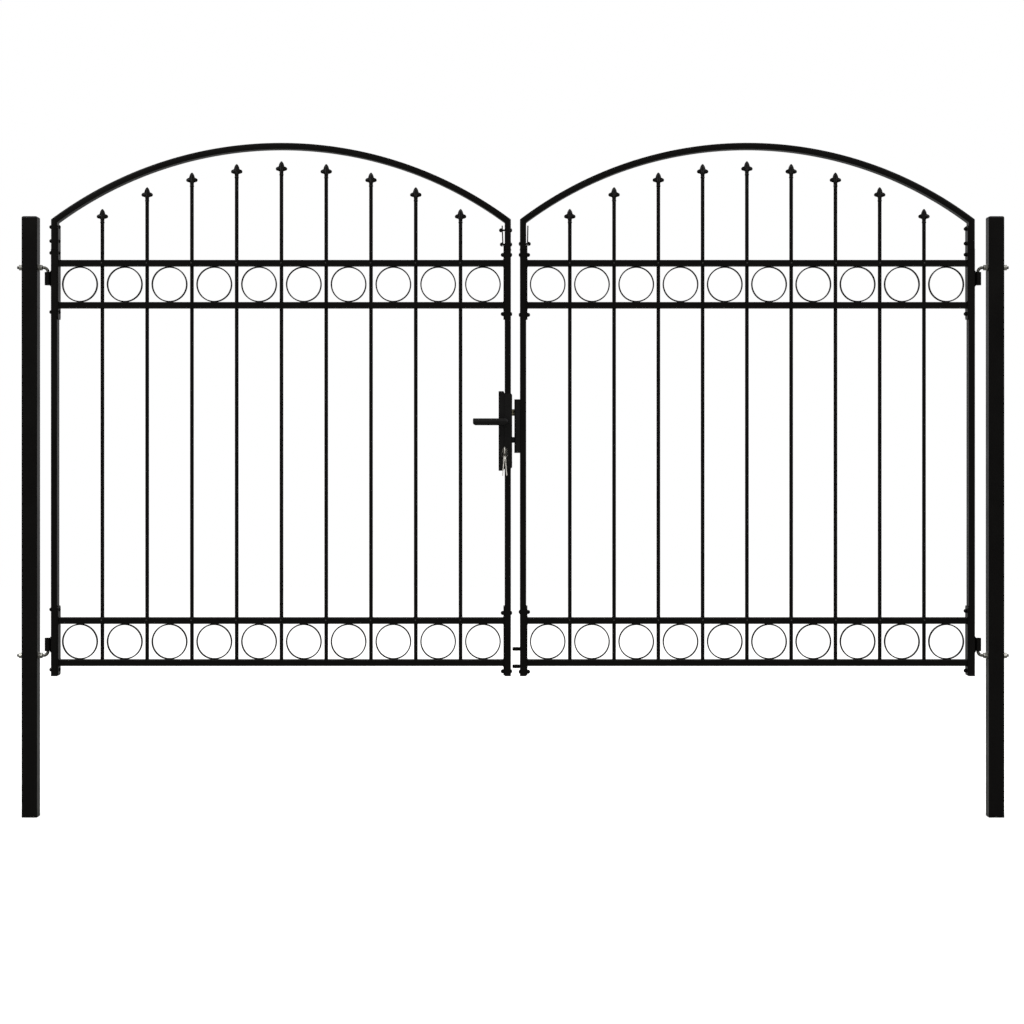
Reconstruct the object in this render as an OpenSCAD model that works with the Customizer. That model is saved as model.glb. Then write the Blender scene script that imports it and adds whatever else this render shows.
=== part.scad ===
// Double-leaf garden gate of powder-coated steel tube: two leaves with arched heads and
// spear bars, hung on hook bolts between two square posts, with a lock, keeper and keys.
// Origin: middle of the left post's foot. +X runs to the right post, +Y away from the
// viewer, +Z up. Both leaves are modelled shut, with the latch and the dead bolt thrown.

/* [Posts] */
// Clear width between the two posts
clear_w = 3046; // [2600:2:3600]
// Side of the square post tube
post_w = 50; // [45:1:70]
// Wall of the post tube
post_wall = 3; // [2:0.5:5]
// How far the post tube reaches over the upper hook bolt
post_over = 157; // [110:1:400]
// Height of the cap on the post
cap_h = 7; // [4:1:14]
// Bevel round the top of the cap
cap_bevel = 4; // [1:0.5:5.5]

/* [Leaves] */
// Height of the leaves' feet over the posts' feet
leaf_z = 452; // [430:1:465]
// Gap from a post to its hinge stile
hinge_gap = 43; // [40:1:60]
// Gap between the two meeting stiles
meeting_gap = 29; // [27:0.5:40]
// How far the meeting gap stands right of the middle of the opening
meeting_shift = 8; // [-20:1:20]
// Width of a stile tube, as seen from the front
stile_w = 20; // [18:1:26]
// Depth of the stile tube and of the arch, front to back
stile_d = 40; // [34:1:44]
// Wall of the stile and arch tube
stile_wall = 2; // [1.5:0.25:3]
// Height at which the stile ends and the arch's leg stands on it
stile_top = 1819; // [1795:1:1850]
// Thickness of the plug's head under a stile
plug_head = 5; // [3:0.5:8]
// Length of the plug inside the stile
plug_in = 14; // [8:1:30]
// Clearance round the plug inside the stile
plug_clear = 0.2; // [0.1:0.05:0.4]

/* [Arched head] */
// Height of the arch's outer corners
arch_corner_z = 1916; // [1905:1:1980]
// Rise of the arch over its corners
arch_rise = 245; // [150:1:300]
// Height of the arch's tube, square to its curve
arch_t = 20; // [16:1:24]

/* [Ring bands] */
// Height of the middle of the bottom rail
bottom_rail_z = 494; // [490:1:510]
// Height of the middle of the lowest rail of the upper band
frieze_z = 1641; // [1620:1:1650]
// Height of a rail
rail_h = 20; // [16:1:22]
// Depth of a rail
rail_d = 30; // [24:1:34]
// Wall of the rail tube
rail_wall = 1.5; // [1:0.25:2.5]
// Clear height between the two rails of a band
band_h = 115; // [105:1:120]
// Thickness of the flat strip of a ring
ring_t = 3; // [2:0.5:5]
// Depth of the strip of a ring
ring_d = 12; // [8:1:20]
// Gap between a ring and the rails it is tacked to
ring_clear = 0.2; // [0.1:0.05:0.4]
// Smallest gap between a ring and the bars beside it
ring_side = 4.2; // [2:0.1:12]
// Thickness of the end straps that carry the bands
strap_t = 4; // [3:0.5:6]
// Lowest point of the lower straps over the leaf's foot
strap_low = 2; // [0:1:10]
// Highest point of the lower straps
strap_mid_z = 677; // [665:1:700]
// Lowest point of the upper straps
strap_upper_z = 1595; // [1580:1:1610]
// Highest point of the upper straps
strap_top_z = 1896; // [1870:1:1900]
// Radius of the straps' corners
strap_r = 9; // [4:1:15]
// Height at which the straps at the meeting stiles bend away from the arch's leg
crank_z = 1831; // [1822:1:1850]
// Height over which they bend
crank_h = 8; // [6:1:30]
// How far their tops stand off the leg, on the left and on the right leaf
crank_off = [6, 3.5]; // [0:0.5:8]

/* [Bars] */
// Smallest distance between the middles of two bars
bar_pitch = 135; // [130:1:170]
// Diameter of a bar
bar_d = 12; // [10:1:14]
// Clearance round a bar in its rail holes
bar_clear = 0.2; // [0.1:0.05:0.4]
// Space from a spear's tip up to the arch
tip_gap = 37; // [25:1:60]
// Length of a spear
spear_l = 46; // [42:1:60]
// Diameter of the spear's neck
spear_neck_d = 13; // [12.5:0.5:16]
// Width of the spear over its two barbs
spear_w = 36; // [32:1:44]
// Width of the spear's blade
blade_w = 16.5; // [14:0.5:20]
// Height of the spear's blade above its barbs
blade_l = 17; // [14:0.5:19]
// Thickness of the spear's blade
blade_t = 8; // [5:0.5:11]

/* [Hinges] */
// Distance from the hinge axis to the stile
hinge_out = 13; // [12:0.5:18]
// Outer diameter of the hinge eye
eye_d = 21; // [18:0.5:23]
// Height of the hinge eye
eye_h = 42; // [34:1:50]
// Diameter of the hook bolt and of its pin
hook_d = 10; // [9:0.5:12]
// Running clearance of the pin in the eye, all round
pin_clear = 0.08; // [0.04:0.01:0.1]
// Radius of the hook's bend, at the rod's middle
hook_bend_r = 14; // [12:1:18]
// How far the pin reaches past the eye
pin_past = 6; // [2:1:12]
// Height of the upper hook bolt
upper_hook_z = 1762; // [1750:1:1775]
// Height of the lower hook bolt
lower_hook_z = 517; // [510:1:530]
// Thread that stands out behind the outer nut
hook_tail = 6; // [2:1:20]
// Gap between the eye and the end of the hook's bend
eye_gap = 0.3; // [0.2:0.05:1]
// Height of the eye's weld plate along the stile
gusset_h = 62; // [50:1:80]
// How far the plate's slopes reach out from the stile
gusset_reach = 7; // [4:0.5:7.5]
// Thickness of the eye's weld plate
gusset_t = 8; // [5:1:12]
// Width of a nut across its flats
nut_af = 17; // [16:1:19]
// Thickness of a nut
nut_t = 10; // [8:0.5:12]
// Outer diameter of a washer
washer_d = 24; // [21:1:30]
// Thickness of a washer
washer_t = 2.5; // [1.5:0.5:4]
// Clearance round the hook bolt in the post and in the nuts
bolt_clear = 0.2; // [0.1:0.05:0.4]

/* [Lock] */
// Height of the lock case's foot
case_z = 1110; // [1080:1:1120]
// Height of the lock case
case_h = 255; // [245:1:280]
// How far the case reaches past the stile into the leaf
case_in = 19.5; // [17:0.5:30]
// Depth of the housing that takes the stile's place, front to back
case_d = 44; // [40:1:50]
// Depth of the box inside the leaf, front to back
box_d = 38; // [34:1:44]
// Bevel along the box's upright edges
box_bevel = 4; // [1:0.5:8]
// Thickness of the forend plate
forend_t = 4; // [3:0.5:5]
// Depth of the forend plate, front to back
forend_d = 26; // [22:1:36]
// How much shorter than the box the housing and the forend are, at each end
forend_short = 7; // [4:1:15]
// Height of the lever's axis over the foot of the case
lever_up = 157; // [150:1:165]
// Distance from the lever's axis down to the key's axis
lever_to_key = 92; // [90:1:94]
// Distance from the lever's axis up to the latch
latch_up = 30; // [28:1:34]
// Height of the latch bolt
latch_h = 21; // [16:1:23]
// Thickness of the latch bolt, front to back
latch_t = 14; // [10:1:16]
// Throw of the latch bolt
latch_throw = 12; // [9:0.5:13]
// Distance from the key's axis up to the dead bolt
dead_up = 34; // [32:1:38]
// Height of the dead bolt
dead_h = 18.5; // [14:0.5:20]
// Thickness of the dead bolt, front to back
dead_t = 12; // [8:1:14]
// Throw of the dead bolt
dead_throw = 19.5; // [15:0.5:20]
// Length of both bolts inside the lock while thrown
bolt_in = 14; // [10:1:14]
// Clearance round the bolts
bolt_slide = 0.3; // [0.15:0.05:0.5]

/* [Lever and keys] */
// Length of the lever from its axis to its tip
lever_l = 101; // [85:1:120]
// Height of the lever's arm
lever_h = 21; // [16:1:23]
// Thickness of the lever's arm
lever_t = 12; // [8:1:16]
// Height of the ridge along the lever's arm
lever_ridge = 3; // [0.5:0.5:5]
// Space between the case and the lever's arm
lever_off = 30; // [26:1:45]
// Diameter of the lever's neck
neck_d = 20; // [16:1:23]
// Diameter of the spindle
spindle_d = 10; // [8:1:12]
// Running clearance of the spindle and of the key's plug, all round
turn_clear = 0.08; // [0.04:0.01:0.1]
// Diameter of the lock cylinder's round part
cyl_d = 17; // [16:0.5:18]
// Width of the lock cylinder's web
cyl_web = 10; // [8:0.5:11]
// Height of the lock cylinder over round part and web
cyl_h = 33; // [30:1:36]
// How far the lock cylinder stands out of the case
cyl_out = 4; // [2:0.5:8]
// Diameter of the plug that the key turns
plug_d = 13; // [11:0.5:14]
// Thickness of a key
key_t = 2.5; // [2:0.25:3.5]
// Width of a key's bow
bow_w = 23; // [20:0.5:26]
// Length of the key's shank between the plug and its bow
shank_l = 7; // [4:0.5:12]
// Diameter of the hole in a key's bow
bow_hole = 6; // [5:0.5:7]
// Outer diameter of the key ring
key_ring_d = 23; // [20:1:32]
// Diameter of the key ring's wire
wire_d = 2; // [1.5:0.25:2.5]
// Length of a key
key_l = 63; // [50:1:72]
// Depths of the cuts in the spare keys' blades, from the tip up
key_cuts = [1.4, 2.6, 1.8, 2.2, 1.2]; // [0.5:0.1:3]
// Distance between two cuts
cut_pitch = 4; // [3:0.5:5]
// Clearance of the key ring in the hole of the key in the lock
ring_seat = 0.3; // [0.2:0.05:0.5]
// Clearance of the key ring in the holes of the spare keys
spare_seat = 0.8; // [0.6:0.05:1]
// Angles at which the two spare keys hang, from left to right
spare_lean = [-4.5, 5]; // [-6:0.5:6]

/* [Keeper and guides] */
// Height of the keeper's foot
keeper_z = 1167; // [1150:1:1175]
// Height of the keeper
keeper_h = 172; // [160:1:190]
// Thickness of the keeper, across the gap
keeper_t = 18; // [17:0.5:18.5]
// Wall behind the keeper's pockets
keeper_back = 3; // [2:0.5:4]
// Bevel that guides the bolts in at the keeper's upright edges
keeper_bevel = 4; // [1:0.5:6]
// Space in front of and behind a bolt in its pocket
pocket_clear = 2.2; // [1.5:0.1:3]
// Space over and under a bolt in its pocket, for a leaf that sags
pocket_rise = 5; // [2:0.5:8]
// Diameter of the guide eyes for a drop rod
guide_d = 24; // [20:1:24]
// Diameter of the hole in the guide eyes
guide_hole = 13; // [11:0.5:15]
// Height of a guide eye
guide_h = 10; // [6:1:14]
// Height of the foot of the lower guide eye
guide_low_z = 477; // [465:1:485]
// Height of the foot of the upper guide eye
guide_high_z = 533; // [520:1:545]

/* [Hidden] */
$fn = 64;

// a little extra length, so that cutting shapes pass right through
over = 1;

black = "#1a1b1c";
zinc = "#8f9396";
nickel = "#b9bcbd";
brass = "#6b6752";
dark = "#4a4c4e";
plastic = "#101112";

// the opening along X
right_post_x = clear_w + post_w;
post_face = post_w / 2;
meeting_x = right_post_x / 2 + meeting_shift;
left_foot_x = post_face + hinge_gap;
right_foot_x = right_post_x - left_foot_x;
left_w = meeting_x - meeting_gap / 2 - left_foot_x;
right_w = right_foot_x - meeting_x - meeting_gap / 2;

// length of the post tube, with the stretch that is set in the ground
post_l = upper_hook_z + post_over;

// number of bars in a leaf: as many as it has room for
bars = floor(((left_w + right_w) / 2 - 2 * (stile_w + strap_t) + bar_d) / bar_pitch) - 1;

// heights of the rails' middles
rail_pitch = band_h + rail_h;
lower_band_z = bottom_rail_z + rail_pitch;
top_rail_z = frieze_z + rail_pitch;
// half the width and half the height of a ring, which is round where the two are alike
ring_rx = (bar_pitch - bar_d) / 2 - ring_side;
ring_ry = band_h / 2 - ring_clear;

// part of the straps' offset that the bend gives, the rest is lean
crank_share = 0.65;

// hinge places
hinge_x = left_foot_x - hinge_out;
pin_r = hook_d / 2;

// the lock, from the face of the left meeting stile
stile_face_x = meeting_x - meeting_gap / 2;
case_w = stile_w + case_in;
case_x = stile_face_x - case_w;
case_y = case_d / 2;
lock_x = stile_face_x - stile_w;
lever_z = case_z + lever_up;
key_z = lever_z - lever_to_key;
latch_z = lever_z + latch_up;
dead_z = key_z + dead_up;
forend_x = stile_face_x + forend_t;
keeper_face_x = stile_face_x + meeting_gap - keeper_t;
cyl_y = case_y + cyl_out;
lever_y = case_y + lever_off;
key_hole_y = -(cyl_y + shank_l + bow_w * 0.72);
// the ring hangs on the foot of the key's hole, and the spare keys hang on the ring's foot
hang = (bow_hole - wire_d) / 2 - ring_seat;
ring_pivot_z = key_z - hang;
ring_mid_r = (key_ring_d - wire_d) / 2;
ring_z = ring_pivot_z - ring_mid_r;
spare_z = ring_z - ring_mid_r - (bow_hole - wire_d) / 2 + spare_seat;

function arch_radius(w) = (pow(w / 2, 2) + pow(arch_rise, 2)) / (2 * arch_rise);
function arch_centre_z(w) = arch_corner_z + arch_rise - arch_radius(w);
// height of the underside of the arch at x, measured from the leaf's hinge side
function arch_under_z(w, x) =
    arch_centre_z(w) + sqrt(pow(arch_radius(w) - arch_t, 2) - pow(x - w / 2, 2));
// the bars stand in equal bays between the straps
function bay_w(w) = (w - 2 * (stile_w + strap_t) - bars * bar_d) / (bars + 1);
function bar_x(w, i) = stile_w + strap_t + (i + 1) * bay_w(w) + (i + 0.5) * bar_d;
function bay_x(w, i) = stile_w + strap_t + (i + 0.5) * bay_w(w) + i * bar_d;

module on_left() { translate([left_foot_x, 0, 0]) children(); }
module on_right() { translate([right_foot_x, 0, 0]) mirror([1, 0, 0]) children(); }

// a rectangle with round corners, its lower corner at the origin
module round_rect(w, d, r) {
    translate([r, 0]) square([w - 2 * r, d]);
    translate([0, r]) square([w, d - 2 * r]);
    for (x = [r, w - r], y = [r, d - r]) translate([x, y]) circle(r = r);
}

// a rectangular tube standing along Z, its corners as round as its wall is thick
module tube(w, d, l, wall) {
    difference() {
        translate([0, -d / 2, 0]) linear_extrude(l) round_rect(w, d, wall);
        translate([wall, wall - d / 2, -over]) cube([w - 2 * wall, d - 2 * wall, l + 2 * over]);
    }
}

// posts

module post() {
    difference() {
        translate([-post_w / 2, 0, 0]) tube(post_w, post_w, post_l, post_wall);
        for (z = [upper_hook_z, lower_hook_z])
            translate([-post_w, 0, z]) rotate([0, 90, 0])
                cylinder(d = hook_d + 2 * bolt_clear, h = 2 * post_w);
    }
}

module left_post() { color(black) post(); }

module right_post() { color(black) translate([right_post_x, 0, 0]) post(); }

module post_cap() {
    // a plate with bevelled edges: the widest square sits on the tube
    intersection() {
        translate([-post_w / 2, -post_w / 2, 0]) linear_extrude(cap_h)
            round_rect(post_w, post_w, post_wall);
        for (turn = [0 : 1])
            rotate([90, 0, 90 * turn]) translate([0, 0, -post_w]) linear_extrude(2 * post_w)
                polygon([
                    [-post_w / 2, 0], [post_w / 2, 0], [post_w / 2, cap_h - cap_bevel],
                    [post_w / 2 - cap_bevel, cap_h], [cap_bevel - post_w / 2, cap_h],
                    [-post_w / 2, cap_h - cap_bevel]
                ]);
    }
}

module post_caps() {
    color(plastic) for (x = [0, right_post_x]) translate([x, 0, post_l]) post_cap();
}

// a hook bolt: rod through the post along X, bend, and pin; dir is -1 where the pin hangs down
module hook_bolt(z, dir) {
    rod_start = -(post_face + washer_t + nut_t + hook_tail);
    pin_l = eye_gap + eye_h + pin_past;
    translate([rod_start, 0, z]) rotate([0, 90, 0])
        cylinder(r = pin_r, h = hinge_x - hook_bend_r - rod_start);
    translate([hinge_x - hook_bend_r, 0, z + dir * hook_bend_r])
        rotate([90, 0, 0]) rotate([0, 0, dir > 0 ? -90 : 0]) rotate_extrude(angle = 90)
            translate([hook_bend_r, 0]) circle(r = pin_r);
    translate([hinge_x, 0, z + dir * hook_bend_r + (dir > 0 ? 0 : -pin_l)])
        cylinder(r = pin_r, h = pin_l);
}

module hook_pair() {
    hook_bolt(upper_hook_z, -1);
    hook_bolt(lower_hook_z, 1);
}

module hook_bolts() {
    color(zinc) {
        hook_pair();
        translate([right_post_x, 0, 0]) mirror([1, 0, 0]) hook_pair();
    }
}

// a hexagon nut standing on its seat, its outer corners turned off at 30 degrees
module nut() {
    flat_r = 0.49 * nut_af;
    intersection() {
        rotate([0, 0, 30]) cylinder(d = nut_af / cos(30), h = nut_t, $fn = 6);
        rotate_extrude() polygon([
            [0, 0], [nut_af, 0], [nut_af, nut_t - (nut_af - flat_r) * tan(30)],
            [flat_r, nut_t], [0, nut_t]
        ]);
    }
}

// washer and nut on one side of the post, their seat at the origin, along +X
module nut_and_washer() {
    difference() {
        rotate([0, 90, 0]) {
            cylinder(d = washer_d, h = washer_t);
            translate([0, 0, washer_t]) nut();
        }
        translate([-over, 0, 0]) rotate([0, 90, 0])
            cylinder(d = hook_d + 2 * bolt_clear, h = washer_t + nut_t + 2 * over);
    }
}

module nut_set() {
    for (z = [upper_hook_z, lower_hook_z]) translate([0, 0, z]) {
        translate([post_face, 0, 0]) nut_and_washer();
        translate([-post_face, 0, 0]) mirror([1, 0, 0]) nut_and_washer();
    }
}

module hook_nuts() {
    color(zinc) {
        nut_set();
        translate([right_post_x, 0, 0]) mirror([1, 0, 0]) nut_set();
    }
}

// the leaf's frame

module stile_between(x, z0, z1) {
    translate([x, 0, z0]) tube(stile_w, stile_d, z1 - z0, stile_wall);
}

module foot_plug(x) {
    core = stile_wall + plug_clear;
    translate([x, 0, leaf_z]) {
        translate([0, -stile_d / 2, 0]) linear_extrude(plug_head)
            round_rect(stile_w, stile_d, stile_wall);
        translate([core, core - stile_d / 2, 0])
            cube([stile_w - 2 * core, stile_d - 2 * core, plug_head + plug_in]);
    }
}

module foot_plugs(w) {
    foot_plug(0);
    foot_plug(w - stile_w);
}

// outline of the arched head and its two legs, drawn inside the outermost line by inset
module arch_outline(w, inset) {
    intersection() {
        translate([w / 2, arch_centre_z(w)]) circle(r = arch_radius(w) - inset, $fn = 256);
        translate([inset, stile_top - over])
            square([w - 2 * inset, 2 * arch_rise + arch_corner_z - stile_top]);
    }
}

module arch_band(w, outer, inner) {
    difference() {
        arch_outline(w, outer);
        arch_outline(w, inner);
    }
}

module arch(w) {
    // the legs are as wide as the stiles that they stand on
    intersection() {
        difference() {
            translate([0, stile_d / 2, 0]) rotate([90, 0, 0]) linear_extrude(stile_d)
                arch_band(w, 0, arch_t);
            translate([0, stile_d / 2 - stile_wall, 0]) rotate([90, 0, 0])
                linear_extrude(stile_d - 2 * stile_wall)
                    arch_band(w, stile_wall, arch_t - stile_wall);
        }
        translate([-over, -stile_d, stile_top]) cube([w + 2 * over, 2 * stile_d, 4 * arch_rise]);
    }
}

// the ring bands

module rail(w, z, holes_through) {
    x0 = stile_w + strap_t;
    l = w - 2 * x0;
    hole = bar_d + 2 * bar_clear;
    difference() {
        translate([x0, 0, z + rail_h / 2]) rotate([0, 90, 0]) tube(rail_h, rail_d, l, rail_wall);
        for (i = [0 : bars - 1])
            translate([bar_x(w, i), 0, holes_through ? z - rail_h : z])
                cylinder(d = hole, h = 2 * rail_h);
    }
}

module upper_rails(w) {
    rail(w, frieze_z, true);
    rail(w, top_rail_z, true);
}

module lower_rails(w) {
    rail(w, bottom_rail_z, false);
    rail(w, lower_band_z, true);
}

module rings(w, rail_z) {
    for (i = [0 : bars])
        translate([bay_x(w, i), ring_d / 2, rail_z + rail_pitch / 2]) rotate([90, 0, 0])
            difference() {
                scale([ring_rx / ring_ry, 1, 1]) cylinder(r = ring_ry, h = ring_d, $fn = 96);
                translate([0, 0, -over]) scale([(ring_rx - ring_t) / (ring_ry - ring_t), 1, 1])
                    cylinder(r = ring_ry - ring_t, h = ring_d + 2 * over, $fn = 96);
            }
}

// a strap flat against a stile, its plane YZ, with rounded corners
module strap(z0, z1) {
    rotate([90, 0, 90]) linear_extrude(strap_t)
        translate([-stile_d / 2, z0]) round_rect(stile_d, z1 - z0, strap_r);
}

// the upper strap at a meeting stile: over crank_z it stands off the arch's leg, and leans
module cranked_strap(off) {
    bend = crank_share * off;
    intersection() {
        translate([-off, 0, 0]) rotate([90, 0, 90]) linear_extrude(strap_t + off)
            translate([-stile_d / 2, strap_upper_z])
                round_rect(stile_d, strap_top_z - strap_upper_z, strap_r);
        translate([0, stile_d, 0]) rotate([90, 0, 0]) linear_extrude(2 * stile_d) polygon([
            [0, 0], [strap_t, 0], [strap_t, crank_z], [strap_t - bend, crank_z + crank_h],
            [strap_t - off, strap_top_z + over], [-off, strap_top_z + over],
            [-bend, crank_z + crank_h], [0, crank_z]
        ]);
    }
}

module straps(w, off) {
    translate([stile_w, 0, 0]) strap(strap_upper_z, strap_top_z);
    translate([w - stile_w - strap_t, 0, 0]) cranked_strap(off);
    for (x = [stile_w, w - stile_w - strap_t])
        translate([x, 0, 0]) strap(leaf_z + strap_low, strap_mid_z);
}

// bars and spears

module leaf_bars(w) {
    z0 = bottom_rail_z - rail_h / 2 + rail_wall;
    for (i = [0 : bars - 1])
        translate([bar_x(w, i), 0, z0])
            cylinder(d = bar_d, h = arch_under_z(w, bar_x(w, i)) - tip_gap - spear_l - z0);
}

// flat outline of a spear's head, its tip at the origin
module spear_outline() {
    // each blade edge is an arc through the tip and the shoulder
    edge_r = (pow(blade_l, 2) + pow(blade_w / 2, 2)) / blade_w;
    barb_r = 4.2;
    barb_z = -blade_l - 7;
    intersection() {
        translate([edge_r - blade_w / 2, -blade_l]) circle(r = edge_r);
        translate([blade_w / 2 - edge_r, -blade_l]) circle(r = edge_r);
        translate([-blade_w, -blade_l - 6]) square([2 * blade_w, blade_l + 6]);
    }
    for (side = [-1, 1]) {
        translate([side * (spear_w / 2 - barb_r), barb_z]) circle(r = barb_r);
        polygon([
            [0, -blade_l + 2],
            [side * blade_w / 2, -blade_l + 0.5],
            [side * (spear_w / 2 - 0.45 * barb_r), barb_z + 0.83 * barb_r],
            [side * (spear_w / 2 - 0.5 * barb_r), barb_z - 0.86 * barb_r],
            [side * spear_neck_d / 2, -blade_l - 15],
            [0, -blade_l - 15]
        ]);
    }
}

module spear() {
    neck_top = -blade_l - 6;
    translate([0, blade_t / 2, 0]) rotate([90, 0, 0]) linear_extrude(blade_t) spear_outline();
    // round neck with a bead at its foot, and a cone that runs into the blade
    rotate_extrude() polygon([
        [0, -spear_l], [spear_neck_d / 2 + 0.6, -spear_l], [spear_neck_d / 2 + 0.6, -spear_l + 3],
        [spear_neck_d / 2, -spear_l + 4], [spear_neck_d / 2, neck_top - 7],
        [blade_t / 2 - 0.5, neck_top], [0, neck_top + 4]
    ]);
}

module spears(w) {
    for (i = [0 : bars - 1])
        translate([bar_x(w, i), 0, arch_under_z(w, bar_x(w, i)) - tip_gap]) spear();
}

// hinge eyes, welded to the hinge stile with a tapered plate

module hinge_eye(z0) {
    mid = z0 + eye_h / 2;
    difference() {
        union() {
            translate([-hinge_out, 0, z0]) cylinder(d = eye_d, h = eye_h);
            translate([0, gusset_t / 2, mid]) rotate([90, 0, 0]) linear_extrude(gusset_t)
                polygon([
                    [0, -gusset_h / 2], [0, gusset_h / 2], [-gusset_reach, eye_h / 2],
                    [-hinge_out, eye_h / 2], [-hinge_out, -eye_h / 2], [-gusset_reach, -eye_h / 2]
                ]);
        }
        translate([-hinge_out, 0, z0 - over])
            cylinder(r = pin_r + pin_clear, h = eye_h + 2 * over);
    }
}

module hinge_eyes() {
    hinge_eye(upper_hook_z - hook_bend_r - eye_gap - eye_h);
    hinge_eye(lower_hook_z + hook_bend_r + eye_gap);
}

// the left leaf

module left_hinge_stile() { color(black) on_left() stile_between(0, leaf_z + plug_head, stile_top); }

module left_meeting_stile() {
    color(black) on_left() {
        stile_between(left_w - stile_w, leaf_z + plug_head, case_z + forend_short);
        stile_between(left_w - stile_w, case_z + case_h - forend_short, stile_top);
    }
}

module left_arch() { color(black) on_left() arch(left_w); }

module left_upper_rails() { color(black) on_left() upper_rails(left_w); }

module left_lower_rails() { color(black) on_left() lower_rails(left_w); }

module left_bars() { color(black) on_left() leaf_bars(left_w); }

module left_spears() { color(black) on_left() spears(left_w); }

module left_upper_rings() { color(black) on_left() rings(left_w, frieze_z); }

module left_lower_rings() { color(black) on_left() rings(left_w, bottom_rail_z); }

module left_straps() { color(black) on_left() straps(left_w, crank_off[0]); }

module left_foot_plugs() { color(plastic) on_left() foot_plugs(left_w); }

module left_hinge_eyes() { color(black) on_left() hinge_eyes(); }

// the right leaf

module right_hinge_stile() { color(black) on_right() stile_between(0, leaf_z + plug_head, stile_top); }

module right_meeting_stile() {
    color(black) on_right() stile_between(right_w - stile_w, leaf_z + plug_head, stile_top);
}

module right_arch() { color(black) on_right() arch(right_w); }

module right_upper_rails() { color(black) on_right() upper_rails(right_w); }

module right_lower_rails() { color(black) on_right() lower_rails(right_w); }

module right_bars() { color(black) on_right() leaf_bars(right_w); }

module right_spears() { color(black) on_right() spears(right_w); }

module right_upper_rings() { color(black) on_right() rings(right_w, frieze_z); }

module right_lower_rings() { color(black) on_right() rings(right_w, bottom_rail_z); }

module right_straps() { color(black) on_right() straps(right_w, crank_off[1]); }

module right_foot_plugs() { color(plastic) on_right() foot_plugs(right_w); }

module right_hinge_eyes() { color(black) on_right() hinge_eyes(); }

// the lock

// a bolt's channel through case and forend, open to the gap
module bolt_channel(z, h, t, travel) {
    c = bolt_slide;
    translate([stile_face_x - bolt_in - travel - c, -t / 2 - c, z - h / 2 - c])
        cube([bolt_in + travel + forend_t + c + over, t + 2 * c, h + 2 * c]);
}

// profile of the lock cylinder: a round part over a narrow web
module cylinder_profile(grow) {
    circle(d = cyl_d + 2 * grow);
    translate([-cyl_web / 2 - grow, -cyl_h + cyl_d / 2 - grow])
        square([cyl_web + 2 * grow, cyl_h - cyl_d / 2 + grow]);
}

module along_y(half, z) {
    translate([lock_x, half, z]) rotate([90, 0, 0]) children();
}

// the box inside the leaf: bevelled along it, and cut back at the ends where it meets the stile
module lock_box() {
    b = box_bevel;
    y = box_d / 2;
    x1 = case_in + over;
    intersection() {
        linear_extrude(case_h) polygon([
            [b, -y], [x1, -y], [x1, y], [b, y], [0, y - b], [0, b - y]
        ]);
        translate([0, case_d, 0]) rotate([90, 0, 0]) linear_extrude(2 * case_d) polygon([
            [0, 1], [1, 0], [case_in - b, 0], [case_in, forend_short], [x1, forend_short],
            [x1, case_h - forend_short], [case_in, case_h - forend_short], [case_in - b, case_h],
            [1, case_h], [0, case_h - 1]
        ]);
    }
}

module lock_case() {
    color(black) difference() {
        union() {
            translate([case_x, 0, case_z]) lock_box();
            translate([case_x + case_in, -case_y, case_z + forend_short])
                cube([stile_w, case_d, case_h - 2 * forend_short]);
        }
        bolt_channel(latch_z, latch_h, latch_t, latch_throw);
        bolt_channel(dead_z, dead_h, dead_t, dead_throw);
        along_y(case_d, lever_z) cylinder(r = spindle_d / 2 + turn_clear, h = 2 * case_d);
        along_y(case_d, key_z) linear_extrude(2 * case_d) cylinder_profile(bolt_slide / 2);
    }
}

module forend() {
    // the plate's ends slope back to the stile
    h = case_h - 2 * forend_short;
    color(black) difference() {
        translate([stile_face_x, forend_d / 2, case_z + forend_short]) rotate([90, 0, 0])
            linear_extrude(forend_d)
                polygon([[0, 0], [forend_t, forend_t], [forend_t, h - forend_t], [0, h]]);
        bolt_channel(latch_z, latch_h, latch_t, latch_throw);
        bolt_channel(dead_z, dead_h, dead_t, dead_throw);
    }
}

module lock_cylinder() {
    color(nickel) difference() {
        along_y(cyl_y, key_z) linear_extrude(2 * cyl_y) cylinder_profile(0);
        along_y(cyl_y + over, key_z) cylinder(r = plug_d / 2 + turn_clear, h = 2 * cyl_y + 2 * over);
    }
}

module latch_bolt() {
    // the nose is cut back on the side that meets the keeper as the leaf shuts
    nose_x = forend_x + latch_throw;
    tail_x = stile_face_x - bolt_in;
    color(brass) translate([0, 0, latch_z - latch_h / 2]) linear_extrude(latch_h) polygon([
        [tail_x, latch_t / 2], [nose_x, latch_t / 2], [nose_x, latch_t / 4],
        [forend_x + 1, -latch_t / 2], [tail_x, -latch_t / 2]
    ]);
}

module dead_bolt() {
    color(dark) translate([stile_face_x - bolt_in, -dead_t / 2, dead_z - dead_h / 2])
        cube([bolt_in + forend_t + dead_throw, dead_t, dead_h]);
}

// the arm of a lever in its own plane, its axis at the origin, its tip at -X
module lever_outline() {
    low_r = lever_h / 3;
    top_r = lever_h / 8;
    h = lever_h / 2;
    circle(r = h);
    translate([low_r - lever_l, -h]) square([lever_l - low_r, lever_h - top_r]);
    translate([top_r - lever_l, 0]) square([lever_l - top_r, h]);
    translate([-lever_l, low_r - h]) square([low_r + over, lever_h - low_r - top_r]);
    translate([low_r - lever_l, low_r - h]) circle(r = low_r);
    translate([top_r - lever_l, h - top_r]) circle(r = top_r);
}

// section of the arm: flat towards the case, with a ridge along its front
module lever_section() {
    h = lever_h / 2 + over;
    polygon([
        [over, -h], [over, h], [lever_ridge - lever_t, h], [-lever_t, 0], [lever_ridge - lever_t, -h]
    ]);
}

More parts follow.
